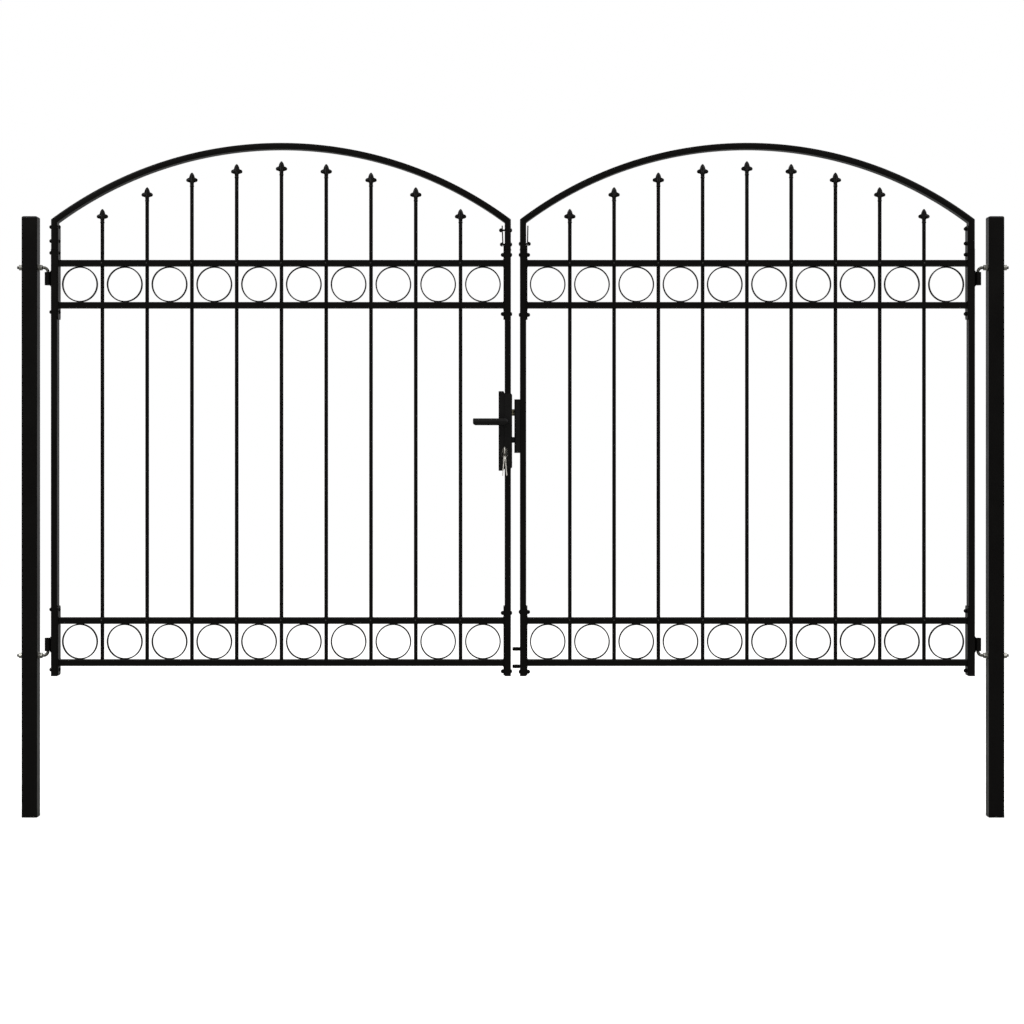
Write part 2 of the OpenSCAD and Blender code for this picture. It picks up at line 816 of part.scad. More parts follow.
// one lever on the viewer's side of the case
module lever_side() {
    along_y(-case_y - turn_clear, lever_z) cylinder(d = neck_d, h = lever_off - turn_clear + over);
    intersection() {
        along_y(-lever_y, lever_z) linear_extrude(lever_t) lever_outline();
        translate([lock_x - lever_l - over, -lever_y, lever_z]) rotate([90, 0, 90])
            linear_extrude(lever_l + lever_h) lever_section();
    }
}

module front_lever() { color(black) lever_side(); }

module back_lever() {
    color(black) {
        mirror([0, 1, 0]) lever_side();
        along_y(case_y + over, lever_z) cylinder(d = spindle_d, h = case_d + over + turn_clear);
    }
}

// keys

module key_plug() {
    color(nickel) along_y(cyl_y, key_z) cylinder(d = plug_d, h = 2 * cyl_y);
}

// a key seen from its flat side: bow round the hole at the origin, shank towards -Z
module key_outline(l) {
    bow_r = bow_w / 2;
    bow_y = -bow_w * 0.22;
    tip_y = bow_y + bow_r - l;
    b = bow_w * 0.16;
    // V cuts as deep as the list says, each as wide as their pitch
    cuts = [
        for (i = [0 : len(key_cuts) - 1]) each [
            [b - key_cuts[i], tip_y + b + (i + 0.5) * cut_pitch],
            [b, tip_y + b + (i + 1) * cut_pitch]
        ]
    ];
    difference() {
        union() {
            translate([0, bow_y]) circle(r = bow_r);
            polygon(concat([
                [b, bow_y], [-b, bow_y], [-b, tip_y + b / 2], [-b / 2, tip_y], [b / 3, tip_y],
                [b, tip_y + b]
            ], cuts));
        }
        circle(d = bow_hole);
    }
}

module key() {
    // the key stands upright in the plug, so the front view shows its edge
    color(nickel) translate([lock_x - key_t / 2, 0, key_z]) rotate([90, 0, 90])
        linear_extrude(key_t) translate([key_hole_y, 0]) rotate(90)
            difference() {
                key_outline(key_l);
                translate([-bow_w, -3 * key_l + key_hole_y + cyl_y]) square([2 * bow_w, 3 * key_l]);
            }
}

module key_ring() {
    color(dark) translate([lock_x, key_hole_y, ring_z]) rotate([90, 0, 0]) rotate_extrude()
        translate([ring_mid_r, 0]) circle(d = wire_d);
}

module spare_key(i) {
    // edge on to the viewer, one on each side of the ring's middle
    translate([lock_x + (i - 0.5) * 1.5 * key_t, key_hole_y, spare_z]) rotate([0, -spare_lean[i], 0])
        translate([-key_t / 2, 0, 0]) rotate([90, 0, 90]) linear_extrude(key_t) key_outline(key_l);
}

module spare_keys() { color(nickel) for (i = [0, 1]) spare_key(i); }

// keeper and guide eyes, on the right leaf's meeting stile

module pocket(z, h, t) {
    translate([keeper_face_x - over, -t / 2 - pocket_clear, z - h / 2 - pocket_rise])
        cube([keeper_t - keeper_back + over, t + 2 * pocket_clear, h + 2 * pocket_rise]);
}

module keeper() {
    b = keeper_bevel;
    y = stile_d / 2;
    color(black) difference() {
        translate([keeper_face_x, 0, keeper_z]) linear_extrude(keeper_h) polygon([
            [0, b - y], [b, -y], [keeper_t, -y], [keeper_t, y], [b, y], [0, y - b]
        ]);
        pocket(latch_z, latch_h, latch_t);
        pocket(dead_z, dead_h, dead_t);
    }
}

module guide_eyes() {
    face_x = stile_face_x + meeting_gap;
    eye_x = face_x - guide_d / 2;
    color(black) for (z = [guide_low_z, guide_high_z]) translate([0, 0, z]) difference() {
        union() {
            translate([eye_x, 0, 0]) cylinder(d = guide_d, h = guide_h);
            translate([eye_x, -guide_d / 3, 0]) cube([guide_d / 2, guide_d * 2 / 3, guide_h]);
        }
        translate([eye_x, 0, -over]) cylinder(d = guide_hole, h = guide_h + 2 * over);
    }
}

left_post();
right_post();
post_caps();
hook_bolts();
hook_nuts();
left_hinge_stile();
left_meeting_stile();
left_arch();
left_upper_rails();
left_lower_rails();
left_bars();
left_spears();
left_upper_rings();
left_lower_rings();
left_straps();
left_foot_plugs();
left_hinge_eyes();
lock_case();
forend();
lock_cylinder();
latch_bolt();
dead_bolt();
front_lever();
back_lever();
key_plug();
key();
key_ring();
spare_keys();
right_hinge_stile();
right_meeting_stile();
right_arch();
right_upper_rails();
right_lower_rails();
right_bars();
right_spears();
right_upper_rings();
right_lower_rings();
right_straps();
right_foot_plugs();
right_hinge_eyes();
keeper();
guide_eyes();
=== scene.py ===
from math import pi, radians

import bmesh
import bpy
import numpy as np
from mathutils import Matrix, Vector


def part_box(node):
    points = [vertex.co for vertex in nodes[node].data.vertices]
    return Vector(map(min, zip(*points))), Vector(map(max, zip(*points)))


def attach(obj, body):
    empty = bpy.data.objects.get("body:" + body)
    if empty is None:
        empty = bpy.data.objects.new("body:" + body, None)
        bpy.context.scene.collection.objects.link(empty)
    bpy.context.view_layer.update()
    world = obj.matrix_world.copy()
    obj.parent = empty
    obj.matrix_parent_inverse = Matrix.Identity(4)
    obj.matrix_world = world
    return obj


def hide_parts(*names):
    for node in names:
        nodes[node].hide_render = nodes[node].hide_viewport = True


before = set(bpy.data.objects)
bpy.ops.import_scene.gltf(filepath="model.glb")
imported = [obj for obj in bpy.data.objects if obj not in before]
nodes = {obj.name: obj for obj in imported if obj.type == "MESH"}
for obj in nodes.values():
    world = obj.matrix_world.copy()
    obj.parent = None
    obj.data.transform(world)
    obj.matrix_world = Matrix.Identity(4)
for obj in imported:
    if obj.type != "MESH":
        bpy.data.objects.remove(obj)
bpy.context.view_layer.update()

# Garden gate of powder-coated steel tube. Metres, X along the gate, Y away from the viewer, Z up.

mm = 0.001
print("frame loaded:", len(nodes), "nodes")


def middleOf(name):
    # middle of a CAD node's box
    return [(low + high) / 2 for low, high in zip(*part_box(name))]


def toLinear(hexColour):
    # sRGB hex to linear: c / 12.92 below 0.04045, ((c + 0.055) / 1.055) ^ 2.4 above
    srgb = np.array([int(hexColour[i:i + 2], 16) for i in (1, 3, 5)]) / 255
    rgb = np.where(srgb <= 0.04045, srgb / 12.92, ((srgb + 0.055) / 1.055) ** 2.4)
    return (*rgb.tolist(), 1.0)


def tubeFaces(shape, ringLoop):
    # quads between ring i and i + 1 and point j and j + 1, the points closed in a loop;
    # a tube that isn't a loop along its length gets one flat face at each end
    copies, rings, around = shape
    index = np.arange(copies * rings * around).reshape(shape)
    ahead = np.roll(index, -1, axis=2)
    if ringLoop:
        low, high = index, np.roll(index, -1, axis=1)
        lowAhead, highAhead = ahead, np.roll(ahead, -1, axis=1)
    else:
        low, high = index[:, :-1], index[:, 1:]
        lowAhead, highAhead = ahead[:, :-1], ahead[:, 1:]
    quads = np.stack([low, lowAhead, highAhead, high], axis=-1).reshape(-1, 4)
    if ringLoop:
        return quads, np.empty((0, around), int)
    ends = np.concatenate([index[:, 0, ::-1], index[:, -1, :]])
    return quads, ends


def sweepVolume(points, quads, ends):
    # a sixth of the sum of the triple products, which is below zero if the faces look inwards
    flat = points.reshape(-1, 3)
    total = 0.0
    for faces in (quads, ends):
        for k in range(1, faces.shape[1] - 1 if len(faces) else 1):
            a, b, c = flat[faces[:, 0]], flat[faces[:, k]], flat[faces[:, k + 1]]
            total += np.einsum("ij,ij->i", a, np.cross(b, c)).sum()
    return total / 6


def makePiece(name, batches, body, material, replaced=(), smoothAngle=32):
    # each batch is (array of copies x rings x points x 3 in metres, whether the rings form a loop)
    allPoints, allFaces, offset = [], [], 0
    for points, ringLoop in batches:
        quads, ends = tubeFaces(points.shape[:3], ringLoop)
        if sweepVolume(points, quads, ends) < 0:
            quads, ends = quads[:, ::-1], ends[:, ::-1]
        allPoints.append(points.reshape(-1, 3))
        allFaces += [quads + offset, ends + offset]
        offset += points[..., 0].size
    mesh = bpy.data.meshes.new(name)
    points = np.concatenate(allPoints)
    sizes = np.concatenate([np.full(len(f), f.shape[1]) for f in allFaces])
    corners = np.concatenate([f.reshape(-1) for f in allFaces])
    mesh.vertices.add(len(points))
    mesh.vertices.foreach_set("co", points.astype(np.float32).ravel())
    mesh.loops.add(len(corners))
    mesh.loops.foreach_set("vertex_index", corners.astype(np.int32))
    mesh.polygons.add(len(sizes))
    mesh.polygons.foreach_set("loop_start", (np.cumsum(sizes) - sizes).astype(np.int32))
    mesh.polygons.foreach_set("loop_total", sizes.astype(np.int32))
    mesh.update(calc_edges=True)
    mesh.validate()
    mesh.polygons.foreach_set("use_smooth", np.ones(len(mesh.polygons), bool))
    mesh.set_sharp_from_angle(angle=radians(smoothAngle))
    mesh.materials.append(material)
    piece = bpy.data.objects.new(name, mesh)
    bpy.context.scene.collection.objects.link(piece)
    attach(piece, body)
    if replaced:
        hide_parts(*replaced)
    return piece


def roundRect(width, depth, radius, steps=5):
    # corner arcs of one radius joined by straight sides, centred on the origin
    turn = np.linspace(0, pi / 2, steps)
    corners = [
        np.stack([sx * (width / 2 - radius) + radius * np.cos(turn + start),
                  sy * (depth / 2 - radius) + radius * np.sin(turn + start)], axis=-1)
        for sx, sy, start in ((1, 1, 0), (-1, 1, pi / 2), (-1, -1, pi), (1, -1, 3 * pi / 2))
    ]
    return np.concatenate(corners)


def lathe(profile, axis, around=24):
    # (distance along the axis, radius) pairs turned round a unit axis; one copy, at the origin
    profile = np.array(profile, float)
    axis = np.array(axis, float)
    side = np.cross(axis, [0, 1, 0]) if abs(axis[1]) < 0.9 else np.cross(axis, [1, 0, 0])
    side /= np.linalg.norm(side)
    other = np.cross(axis, side)
    turn = np.linspace(0, 2 * pi, around, endpoint=False)
    ring = np.cos(turn)[:, None] * side + np.sin(turn)[:, None] * other
    return (profile[:, 0, None, None] * axis + profile[:, 1, None, None] * ring)[None]


def copiesAt(shape, places):
    # one shape carried to each place
    return shape + np.array(places, float)[:, None, None, :]


# Sizes that several pieces share, in metres; the leaves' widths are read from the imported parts.

leafData = {
    "left": {"body": "left_leaf", "sense": 1, "bars": 9},
    "right": {"body": "right_leaf", "sense": -1, "bars": 9},
}
frameSizes = {
    "stileWidth": 0.020, "stileDepth": 0.040, "stileTop": 1.819, "archRise": 0.245,
    "archThickness": 0.020, "railHeight": 0.020, "railDepth": 0.030, "strapThickness": 0.004,
    "barRadius": 0.006, "tipGap": 0.037, "tipDrop": 0.075,
    "railHeights": (0.494, 0.629, 1.641, 1.776),
    # the upper straps at the meeting stiles: heights of their bend and top, and how far they
    # stand off the arch's leg there
    "strapBend": (1.831, 1.839, 1.896), "leftStrapOff": (0, 0.0039, 0.006),
    "rightStrapOff": (0, 0.0023, 0.0035),
}
fs = frameSizes
for side, leaf in leafData.items():
    low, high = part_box(side + "_arch")
    leaf["width"] = high.x - low.x
    leaf["foot"] = low.x if side == "left" else high.x
    # radius of an arc from half its chord and its rise: (half ^ 2 + rise ^ 2) / (2 rise)
    leaf["radius"] = ((leaf["width"] / 2) ** 2 + fs["archRise"] ** 2) / (2 * fs["archRise"])
    leaf["centreZ"] = high.z - leaf["radius"]
    # rings and bars take turns between the straps: ring, bar, ring, and so on to the last ring
    start = fs["stileWidth"] + fs["strapThickness"]
    barWidth = 2 * fs["barRadius"]
    bay = (leaf["width"] - 2 * start - leaf["bars"] * barWidth) / (leaf["bars"] + 1)
    count = np.arange(leaf["bars"] + 1)
    leaf["ringX"] = start + (count + 0.5) * bay + count * barWidth
    leaf["barX"] = start + (count[:-1] + 1) * bay + (count[:-1] + 0.5) * barWidth


def acrossLeaf(leaf, x):
    # distance from the leaf's hinge side to X in the frame
    return leaf["foot"] + leaf["sense"] * np.asarray(x)


def underArch(leaf, x):
    # height of the arch's underside: a circle of the arch's inner radius
    r = leaf["radius"] - fs["archThickness"]
    return leaf["centreZ"] + np.sqrt(r ** 2 - (np.asarray(x) - leaf["width"] / 2) ** 2)


def tipHeight(leaf, x):
    # the spears' tips lie on a circle a little smaller than the arch, so that they drop away from
    # it towards the leaf's sides
    middle = leaf["width"] / 2
    radius = leaf["radius"] - fs["tipDrop"]
    top = underArch(leaf, middle) - fs["tipGap"]
    return top - radius + np.sqrt(radius ** 2 - (np.asarray(x) - middle) ** 2)


def addNode(tree, kind, settings=None, links=None):
    node = tree.nodes.new(kind)
    for key, value in (settings or {}).items():
        if isinstance(key, int) or key in node.inputs:
            node.inputs[key].default_value = value
        else:
            setattr(node, key, value)
    for key, source in (links or {}).items():
        tree.links.new(source, node.inputs[key])
    return node


def newMaterial(name):
    material = bpy.data.materials.new(name)
    material.use_nodes = True
    tree = material.node_tree
    tree.nodes.clear()
    output = addNode(tree, "ShaderNodeOutputMaterial")
    place = addNode(tree, "ShaderNodeTexCoord").outputs["Object"]
    return material, tree, output, place


def twoTones(tree, place, dark, light, noiseSettings):
    # a cloudy noise, and the colour that it mixes from a dark and a light tone
    clouds = addNode(tree, "ShaderNodeTexNoise", noiseSettings, {"Vector": place}).outputs["Fac"]
    colour = addNode(tree, "ShaderNodeMix", {"data_type": "RGBA", 6: toLinear(dark),
                     7: toLinear(light)}, {0: clouds})
    return clouds, colour.outputs[2]


def mapRange(tree, value, fromMin, fromMax, toMin=0.0, toMax=1.0):
    return addNode(tree, "ShaderNodeMapRange", {"From Min": fromMin, "From Max": fromMax,
                   "To Min": toMin, "To Max": toMax}, {"Value": value}).outputs[0]


def surface(tree, output, settings, colour, roughness, height, strength, depth):
    # a bumped surface; roughness is a number or a node's output
    bump = addNode(tree, "ShaderNodeBump", {"Strength": strength, "Distance": depth},
                   {"Height": height})
    links = {"Base Color": colour, "Normal": bump.outputs[0]}
    if isinstance(roughness, float):
        settings = {**settings, "Roughness": roughness}
    else:
        links["Roughness"] = roughness
    shader = addNode(tree, "ShaderNodeBsdfPrincipled", settings, links)
    tree.links.new(shader.outputs[0], output.inputs[0])


# Black powder coat of the gate, and on the lock's case, levers and keeper a thinner satin enamel.
# the dust tone of faces that look up is partly dust and partly painted light from above
coatLook = {"dark": "#040303", "light": "#090806", "roughness": 0.31, "peelMm": 2.2, "dustMm": 160,
            "specular": 0.10, "dustAndTopLight": "#1c1b19"}
lockCoatLook = {"dark": "#060505", "light": "#0d0c0a", "roughness": 0.4, "peelMm": 1.4,
                "dustMm": 60, "specular": 0.16, "dustAndTopLight": "#191817"}
# dust, and painted light from above, lie fully on faces that look straight up and not on
# those below the lower slope; slopes are the height of the face's normal
coatSkin = {"detail": 4.0, "breakUp": 0.6, "dustAndTopLightSlopes": (0.8, 0.98), "dustRoughness": 0.62,
            "patchRange": (0.3, 0.7), "smoother": 0.05, "rougher": 0.07, "peelDetail": 1.5,
            "peel": 0.06, "peelDepth": 0.0003, "ior": 1.5}


def powderCoat(name, look):
    # Polyester powder coat, sprayed and oven-cured on steel: a deep satin black skin with the soft
    # waviness of orange peel, a little duller in broad patches, and lighter and duller on faces
    # that look up, partly from fine dust and partly as painted light from above.
    material, tree, output, place = newMaterial(name)
    skin = coatSkin
    patches, tones = twoTones(tree, place, look["dark"], look["light"],
                              {"Scale": 1000 / look["dustMm"], "Detail": skin["detail"],
                               "Roughness": skin["breakUp"]})
    upright = addNode(tree, "ShaderNodeSeparateXYZ", None,
                      {0: addNode(tree, "ShaderNodeNewGeometry").outputs["True Normal"]})
    # faces that look up take the lighter dust tone: partly dust, partly painted light from above
    dustAndTopLightMask = mapRange(tree, upright.outputs["Z"], *skin["dustAndTopLightSlopes"])
    colour = addNode(tree, "ShaderNodeMix", {"data_type": "RGBA", 7: toLinear(look["dustAndTopLight"])},
                     {0: dustAndTopLightMask, 6: tones})
    clean = mapRange(tree, patches, *skin["patchRange"], look["roughness"] - skin["smoother"],
                     look["roughness"] + skin["rougher"])
    rough = addNode(tree, "ShaderNodeMix", {"data_type": "FLOAT", 3: skin["dustRoughness"]},
                    {0: dustAndTopLightMask, 2: clean})
    # orange peel: real cells are about 1.5 to 2.5 mm
    peel = addNode(tree, "ShaderNodeTexNoise", {"Scale": 1000 / look["peelMm"],
                   "Detail": skin["peelDetail"]}, {"Vector": place})
    surface(tree, output, {"IOR": skin["ior"], "Specular IOR Level": look["specular"]},
            colour.outputs[2], rough.outputs[0], peel.outputs["Fac"], skin["peel"],
            skin["peelDepth"])
    return material


plasticLook = {"base": "#080808", "grey": "#101011", "roughness": 0.5, "grainMm": 0.7,
               "cloudScale": 30.0, "cloudDetail": 3.0, "grain": 0.25, "grainDepth": 0.0001,
               "specular": 0.15, "ior": 1.5}


def mouldedPlastic():
    # Polyethylene, injection moulded: matt black with the fine spark-eroded grain of the mould.
    material, tree, output, place = newMaterial("blackMouldedPlastic")
    look = plasticLook
    grain = addNode(tree, "ShaderNodeTexVoronoi", {"Scale": 1000 / look["grainMm"]},
                    {"Vector": place})
    colour = twoTones(tree, place, look["base"], look["grey"],
                      {"Scale": look["cloudScale"], "Detail": look["cloudDetail"]})[1]
    surface(tree, output, {"IOR": look["ior"], "Specular IOR Level": look["specular"]}, colour,
            look["roughness"], grain.outputs["Distance"], look["grain"], look["grainDepth"])
    return material


platedSkin = {"detail": 5.0, "breakUp": 0.65, "patchRange": (0.25, 0.75), "smoother": 0.08,
              "rougher": 0.1, "markDetail": 2.0, "markDepth": 0.0001}


def platedMetal(name, look):
    # dark and light are the two tones of the plating, spotMm the size of its patches, grainMm the
    # pitch of the fine marks that bump it, stretch how far those marks run along Z
    material, tree, output, place = newMaterial(name)
    skin = platedSkin
    patches, colour = twoTones(tree, place, look["dark"], look["light"],
                               {"Scale": 1000 / look["spotMm"], "Detail": skin["detail"],
                                "Roughness": skin["breakUp"]})
    stretched = addNode(tree, "ShaderNodeMapping", {"Scale": (1, 1, look["stretch"])},
                        {"Vector": place})
    marks = addNode(tree, "ShaderNodeTexNoise", {"Scale": 1000 / look["grainMm"],
                    "Detail": skin["markDetail"]}, {"Vector": stretched.outputs[0]})
    rough = mapRange(tree, patches, *skin["patchRange"], look["roughness"] - skin["smoother"],
                     look["roughness"] + skin["rougher"])
    surface(tree, output, {"Metallic": look["metallic"]}, colour, rough, marks.outputs["Fac"],
            look["bump"], skin["markDepth"])
    return material


# Zinc, electroplated and passivated: grey with a faint straw-olive cast, cloudy, never mirror-like.
zincLook = {"dark": "#7c7b75", "light": "#a9a8a2", "spotMm": 9, "grainMm": 0.8, "stretch": 1.0,
            "roughness": 0.38, "bump": 0.2, "metallic": 1.0}
# The bent bolts carry the same plating, in darker tones.
hookZincLook = {"dark": "#565550", "light": "#7a7973", "spotMm": 12, "grainMm": 0.8,
                "stretch": 1.0, "roughness": 0.36, "bump": 0.2, "metallic": 1.0}
# Nickel plate on brass, bright, with fine lengthwise scratches from use.
nickelLook = {"dark": "#cfcbc2", "light": "#ece9e2", "spotMm": 14, "grainMm": 0.5, "stretch": 0.08,
              "roughness": 0.4, "bump": 0.12, "metallic": 0.7}
# Satin nickel of the lock cylinder, brushed, its tones darkened as painted shade.
satinNickelPaintedShadeLook = {"dark": "#4a4844", "light": "#66635d", "spotMm": 7, "grainMm": 0.4,
                   "stretch": 0.2, "roughness": 0.44, "bump": 0.15, "metallic": 1.0}
# Sintered bronze-coloured latch nose: dull olive brass with a close grain.
latchLook = {"dark": "#a8a184", "light": "#c9c2a2", "spotMm": 5, "grainMm": 0.4, "stretch": 1.0,
             "roughness": 0.5, "bump": 0.3, "metallic": 0.6}
# Steel, blackened in hot oxide: blue-black with a soft metal shine.
oxideLook = {"dark": "#17181a", "light": "#2e2f31", "spotMm": 8, "grainMm": 0.6, "stretch": 1.0,
             "roughness": 0.4, "bump": 0.2, "metallic": 0.85}
# Spring wire of the ring, hardened and grey.
wireLook = {"dark": "#3c3c3b", "light": "#5c5b58", "spotMm": 6, "grainMm": 0.5, "stretch": 1.0,
            "roughness": 0.34, "bump": 0.15, "metallic": 1.0}

coat = powderCoat("blackPowderCoat", coatLook)
lockCoat = powderCoat("satinBlackEnamel", lockCoatLook)
plastic = mouldedPlastic()
zinc = platedMetal("zincPlatedSteel", zincLook)
hookZinc = platedMetal("darkerZincPlatedSteel", hookZincLook)
nickel = platedMetal("nickelPlatedBrass", nickelLook)
satinNickelPaintedShade = platedMetal("satinNickelBrassPaintedShade", satinNickelPaintedShadeLook)
latchBronze = platedMetal("sinteredLatchBronze", latchLook)
oxide = platedMetal("blackOxideSteel", oxideLook)
wire = platedMetal("hardenedSpringWire", wireLook)
print("materials made")

leafNodes = ("hinge_stile", "meeting_stile", "arch", "upper_rails", "lower_rails", "bars", "spears",
             "upper_rings", "lower_rings", "straps", "hinge_eyes")
finishes = [
    (coat, ["left_post", "right_post", "guide_eyes"]
     + [side + "_" + name for side in leafData for name in leafNodes]),
    (lockCoat, ["lock_case", "forend", "keeper", "front_lever", "back_lever"]),
    (plastic, ["post_caps", "left_foot_plugs", "right_foot_plugs"]),
    (zinc, ["hook_bolts", "hook_nuts"]),
    (nickel, ["key", "spare_keys"]),
    (satinNickelPaintedShade, ["lock_cylinder", "key_plug"]),
    (latchBronze, ["latch_bolt"]),
    (oxide, ["dead_bolt"]),
    (wire, ["key_ring"]),
]
for material, names in finishes:
    for name in names:
        node = nodes[name]
        if not node.material_slots:
            node.data.materials.append(material)
        for place in node.material_slots:
            place.material = material
print("finishes given to the parts:", sum(len(names) for material, names in finishes))


archLook = {"upperRadius": 0.0045, "lowerRadius": 0.0022, "cornerSteps": 7, "arcSteps": 120}


def archedHead(side, leaf):
    # the round-cornered section of the tube is carried up one leg, round the arc and down the
    # other; every point lies between an outer line (legs and outer circle) and an inner one
    w, t = leaf["width"], fs["archThickness"]
    steps = np.linspace(0, 1, archLook["arcSteps"])

    def line(inset):
        r = leaf["radius"] - inset
        half = np.arcsin((w / 2 - inset) / r)
        turn = -half + 2 * half * steps
        arc = np.stack([w / 2 + r * np.sin(turn), leaf["centreZ"] + r * np.cos(turn)], axis=-1)
        feet = np.array([[inset, fs["stileTop"]], [w - inset, fs["stileTop"]]])
        return np.concatenate([feet[:1], arc, feet[1:]])

    outer, inner = line(0), line(t)
    # rolled on its outside, the tube is rounder there than on the side that looks down
    rounder, sharper = (roundRect(t, fs["stileDepth"], archLook[key], archLook["cornerSteps"])
                        for key in ("upperRadius", "lowerRadius"))
    section = np.where(rounder[:, :1] > 0, rounder, sharper)
    part = section[:, 0] / t + 0.5
    flat = inner[:, None, :] + (outer - inner)[:, None, :] * part[None, :, None]
    points = np.stack([acrossLeaf(leaf, flat[..., 0]),
                       np.broadcast_to(section[:, 1], flat.shape[:2]), flat[..., 1]], axis=-1)
    return makePiece(side + "ArchedHead", [(points[None], False)], leaf["body"], coat,
                     [side + "_arch"])


for side, leaf in leafData.items():
    archedHead(side, leaf)
print("arched heads made")


spearLook = {
    # depth under the tip, half width and half thickness of the blade, all in mm
    "blade": [(0.0, 0.4, 0.4), (0.5, 1.5, 1.3), (1.5, 2.7, 2.0), (3.2, 4.2, 2.6), (6.0, 6.0, 3.2),
              (9.5, 7.5, 3.7), (13.0, 8.6, 4.0), (16.0, 9.1, 4.3), (18.5, 9.0, 4.6),
              (22.0, 8.4, 5.0), (26.0, 7.7, 5.5), (30.0, 7.1, 6.0), (34.0, 6.6, 6.2),
              (38.0, 6.3, 6.25), (40.5, 6.25, 6.25), (41.6, 6.4, 6.4), (42.4, 6.9, 6.9),
              (43.6, 7.2, 7.2), (44.8, 7.0, 7.0), (45.6, 6.5, 6.5), (46.0, 6.1, 6.1)],
    # distance from the middle, height of the upper and lower edge, half thickness, all in mm
    "barb": [(4.0, -15.4, -33.2, 4.4), (7.0, -15.7, -32.4, 4.2), (10.0, -16.6, -31.4, 3.9),
             (12.5, -17.7, -30.8, 3.6), (14.5, -18.6, -30.2, 3.3), (16.0, -19.5, -29.4, 3.0),
             (17.2, -20.6, -28.4, 2.6), (18.0, -22.0, -27.1, 2.0), (18.4, -23.6, -25.5, 0.9)],
    # how the section thins beside the midrib, and from what depth and over what length it turns
    # round, in mm
    "ridge": 0.75, "ridgePower": 0.7, "ridgeGain": 1.2, "roundFrom": 18, "roundOver": 14,
    "around": 24, "smoothAngle": 50,
}


def castSpears(side, leaf):
    # blade: an oval section with a raised midrib, carried down from the tip into a round neck with
    # a bead at its foot; barbs: the same section carried outwards between an upper and lower edge
    look = spearLook
    turn = np.linspace(0, 2 * pi, look["around"], endpoint=False)
    blade = np.array(look["blade"]) * mm
    roundness = np.clip((blade[:, 0] / mm - look["roundFrom"]) / look["roundOver"], 0, 1)[:, None]
    thinning = (1 - look["ridge"]) * np.abs(np.cos(turn)) ** look["ridgePower"] * look["ridgeGain"]
    ribbed = np.sin(turn) * (1 - thinning)
    y = blade[:, 2:3] * ((1 - roundness) * ribbed + roundness * np.sin(turn))
    x = blade[:, 1:2] * np.cos(turn)
    z = -blade[:, 0:1] * np.ones_like(turn)
    body = np.stack([x, y, z], axis=-1)[None]
    barb = np.array(look["barb"]) * mm
    middle, half = (barb[:, 1] + barb[:, 2]) / 2, (barb[:, 1] - barb[:, 2]) / 2
    bz = middle[:, None] + half[:, None] * np.cos(turn)
    by = barb[:, 3:4] * ribbed
    bx = barb[:, 0:1] * np.ones_like(turn)
    places = np.stack([acrossLeaf(leaf, leaf["barX"]), np.zeros(leaf["bars"]),
                       tipHeight(leaf, leaf["barX"])], axis=-1)
    batches = [(copiesAt(body, places), False)]
    for hand in (1, -1):
        batches.append((copiesAt(np.stack([hand * bx, by, bz], axis=-1)[None], places), False))
    return makePiece(side + "CastSpears", batches, leaf["body"], coat,
                     [side + "_spears"], smoothAngle=look["smoothAngle"])


for side, leaf in leafData.items():
    castSpears(side, leaf)
print("spears made")


hookLook = {
    "radius": 0.005, "pitch": 0.0015, "threadDepth": 0.0007, "bend": 0.014, "hingeX": 0.055,
    "tail": -0.0435, "threadIn": (-0.0435, -0.024), "threadOut": (0.024, 0.041), "pin": 0.0413,
    "upper": 1.762, "lower": 0.517, "around": 24, "pitchSteps": 8, "bendSteps": 16,
    # stations inside the post; length and depth of the tail's chamfer
    "plain": (-0.02, 0, 0.02), "chamfer": (0.0012, 0.0011),
    # part of the pin's length, and part of its radius there
    "pinEnd": [(0.25, 1), (0.5, 1), (0.75, 1), (0.97, 1), (0.99, 0.93), (1.0, 0.8)],
}


def hookBolts():
    # a round bar along X, a quarter bend and a pin along Z; where it is threaded the radius follows
    # a triangle wave whose phase runs once round the bar for each pitch
    h = hookLook
    step = h["pitch"] / h["pitchSteps"]
    bendStart = h["hingeX"] - h["bend"]
    along = np.concatenate([np.arange(*h["threadIn"], step), h["plain"],
                            np.arange(h["threadOut"][0], bendStart, step)])
    turn = np.linspace(0, 2 * pi, h["around"], endpoint=False)
    phase = (along[:, None] / h["pitch"] - turn / (2 * pi)) % 1
    threaded = (along < h["threadIn"][1]) | (along > h["threadOut"][0])
    groove = h["threadDepth"] * np.abs(2 * phase - 1) * threaded[:, None]
    length, depth = h["chamfer"]
    chamfer = np.clip(1 - (along - h["tail"]) / length, 0, 1)[:, None] * depth
    radius = h["radius"] - np.maximum(groove, chamfer)
    arc = np.linspace(0, pi / 2, h["bendSteps"])
    pin = np.array(h["pinEnd"])
    pathX = np.concatenate([along, bendStart + h["bend"] * np.sin(arc),
                            np.full(len(pin), h["hingeX"])])
    pathZ = np.concatenate([np.zeros(len(along)), -h["bend"] * (1 - np.cos(arc)),
                            -h["bend"] - pin[:, 0] * h["pin"]])
    lean = np.concatenate([np.zeros(len(along)), arc, np.full(len(pin), pi / 2)])
    plain = np.full((len(arc) + len(pin), len(turn)), h["radius"])
    plain[len(arc):] *= pin[:, 1:]
    radius = np.concatenate([radius, plain])
    # the ring's upright direction tips forward along the bend
    bolt = np.stack([pathX[:, None] + radius * np.cos(turn) * np.sin(lean)[:, None],
                     radius * np.sin(turn),
                     pathZ[:, None] + radius * np.cos(turn) * np.cos(lean)[:, None]], axis=-1)
    batches = []
    for height, down in ((h["upper"], 1), (h["lower"], -1)):
        for x0, sense in ((0.0, 1), (middleOf("right_post")[0], -1)):
            batches.append(((bolt * [sense, 1, down] + [x0, 0, height])[None], False))
    return makePiece("threadedHooks", batches, "posts", hookZinc, ["hook_bolts"])


hookBolts()
print("hook bolts made")


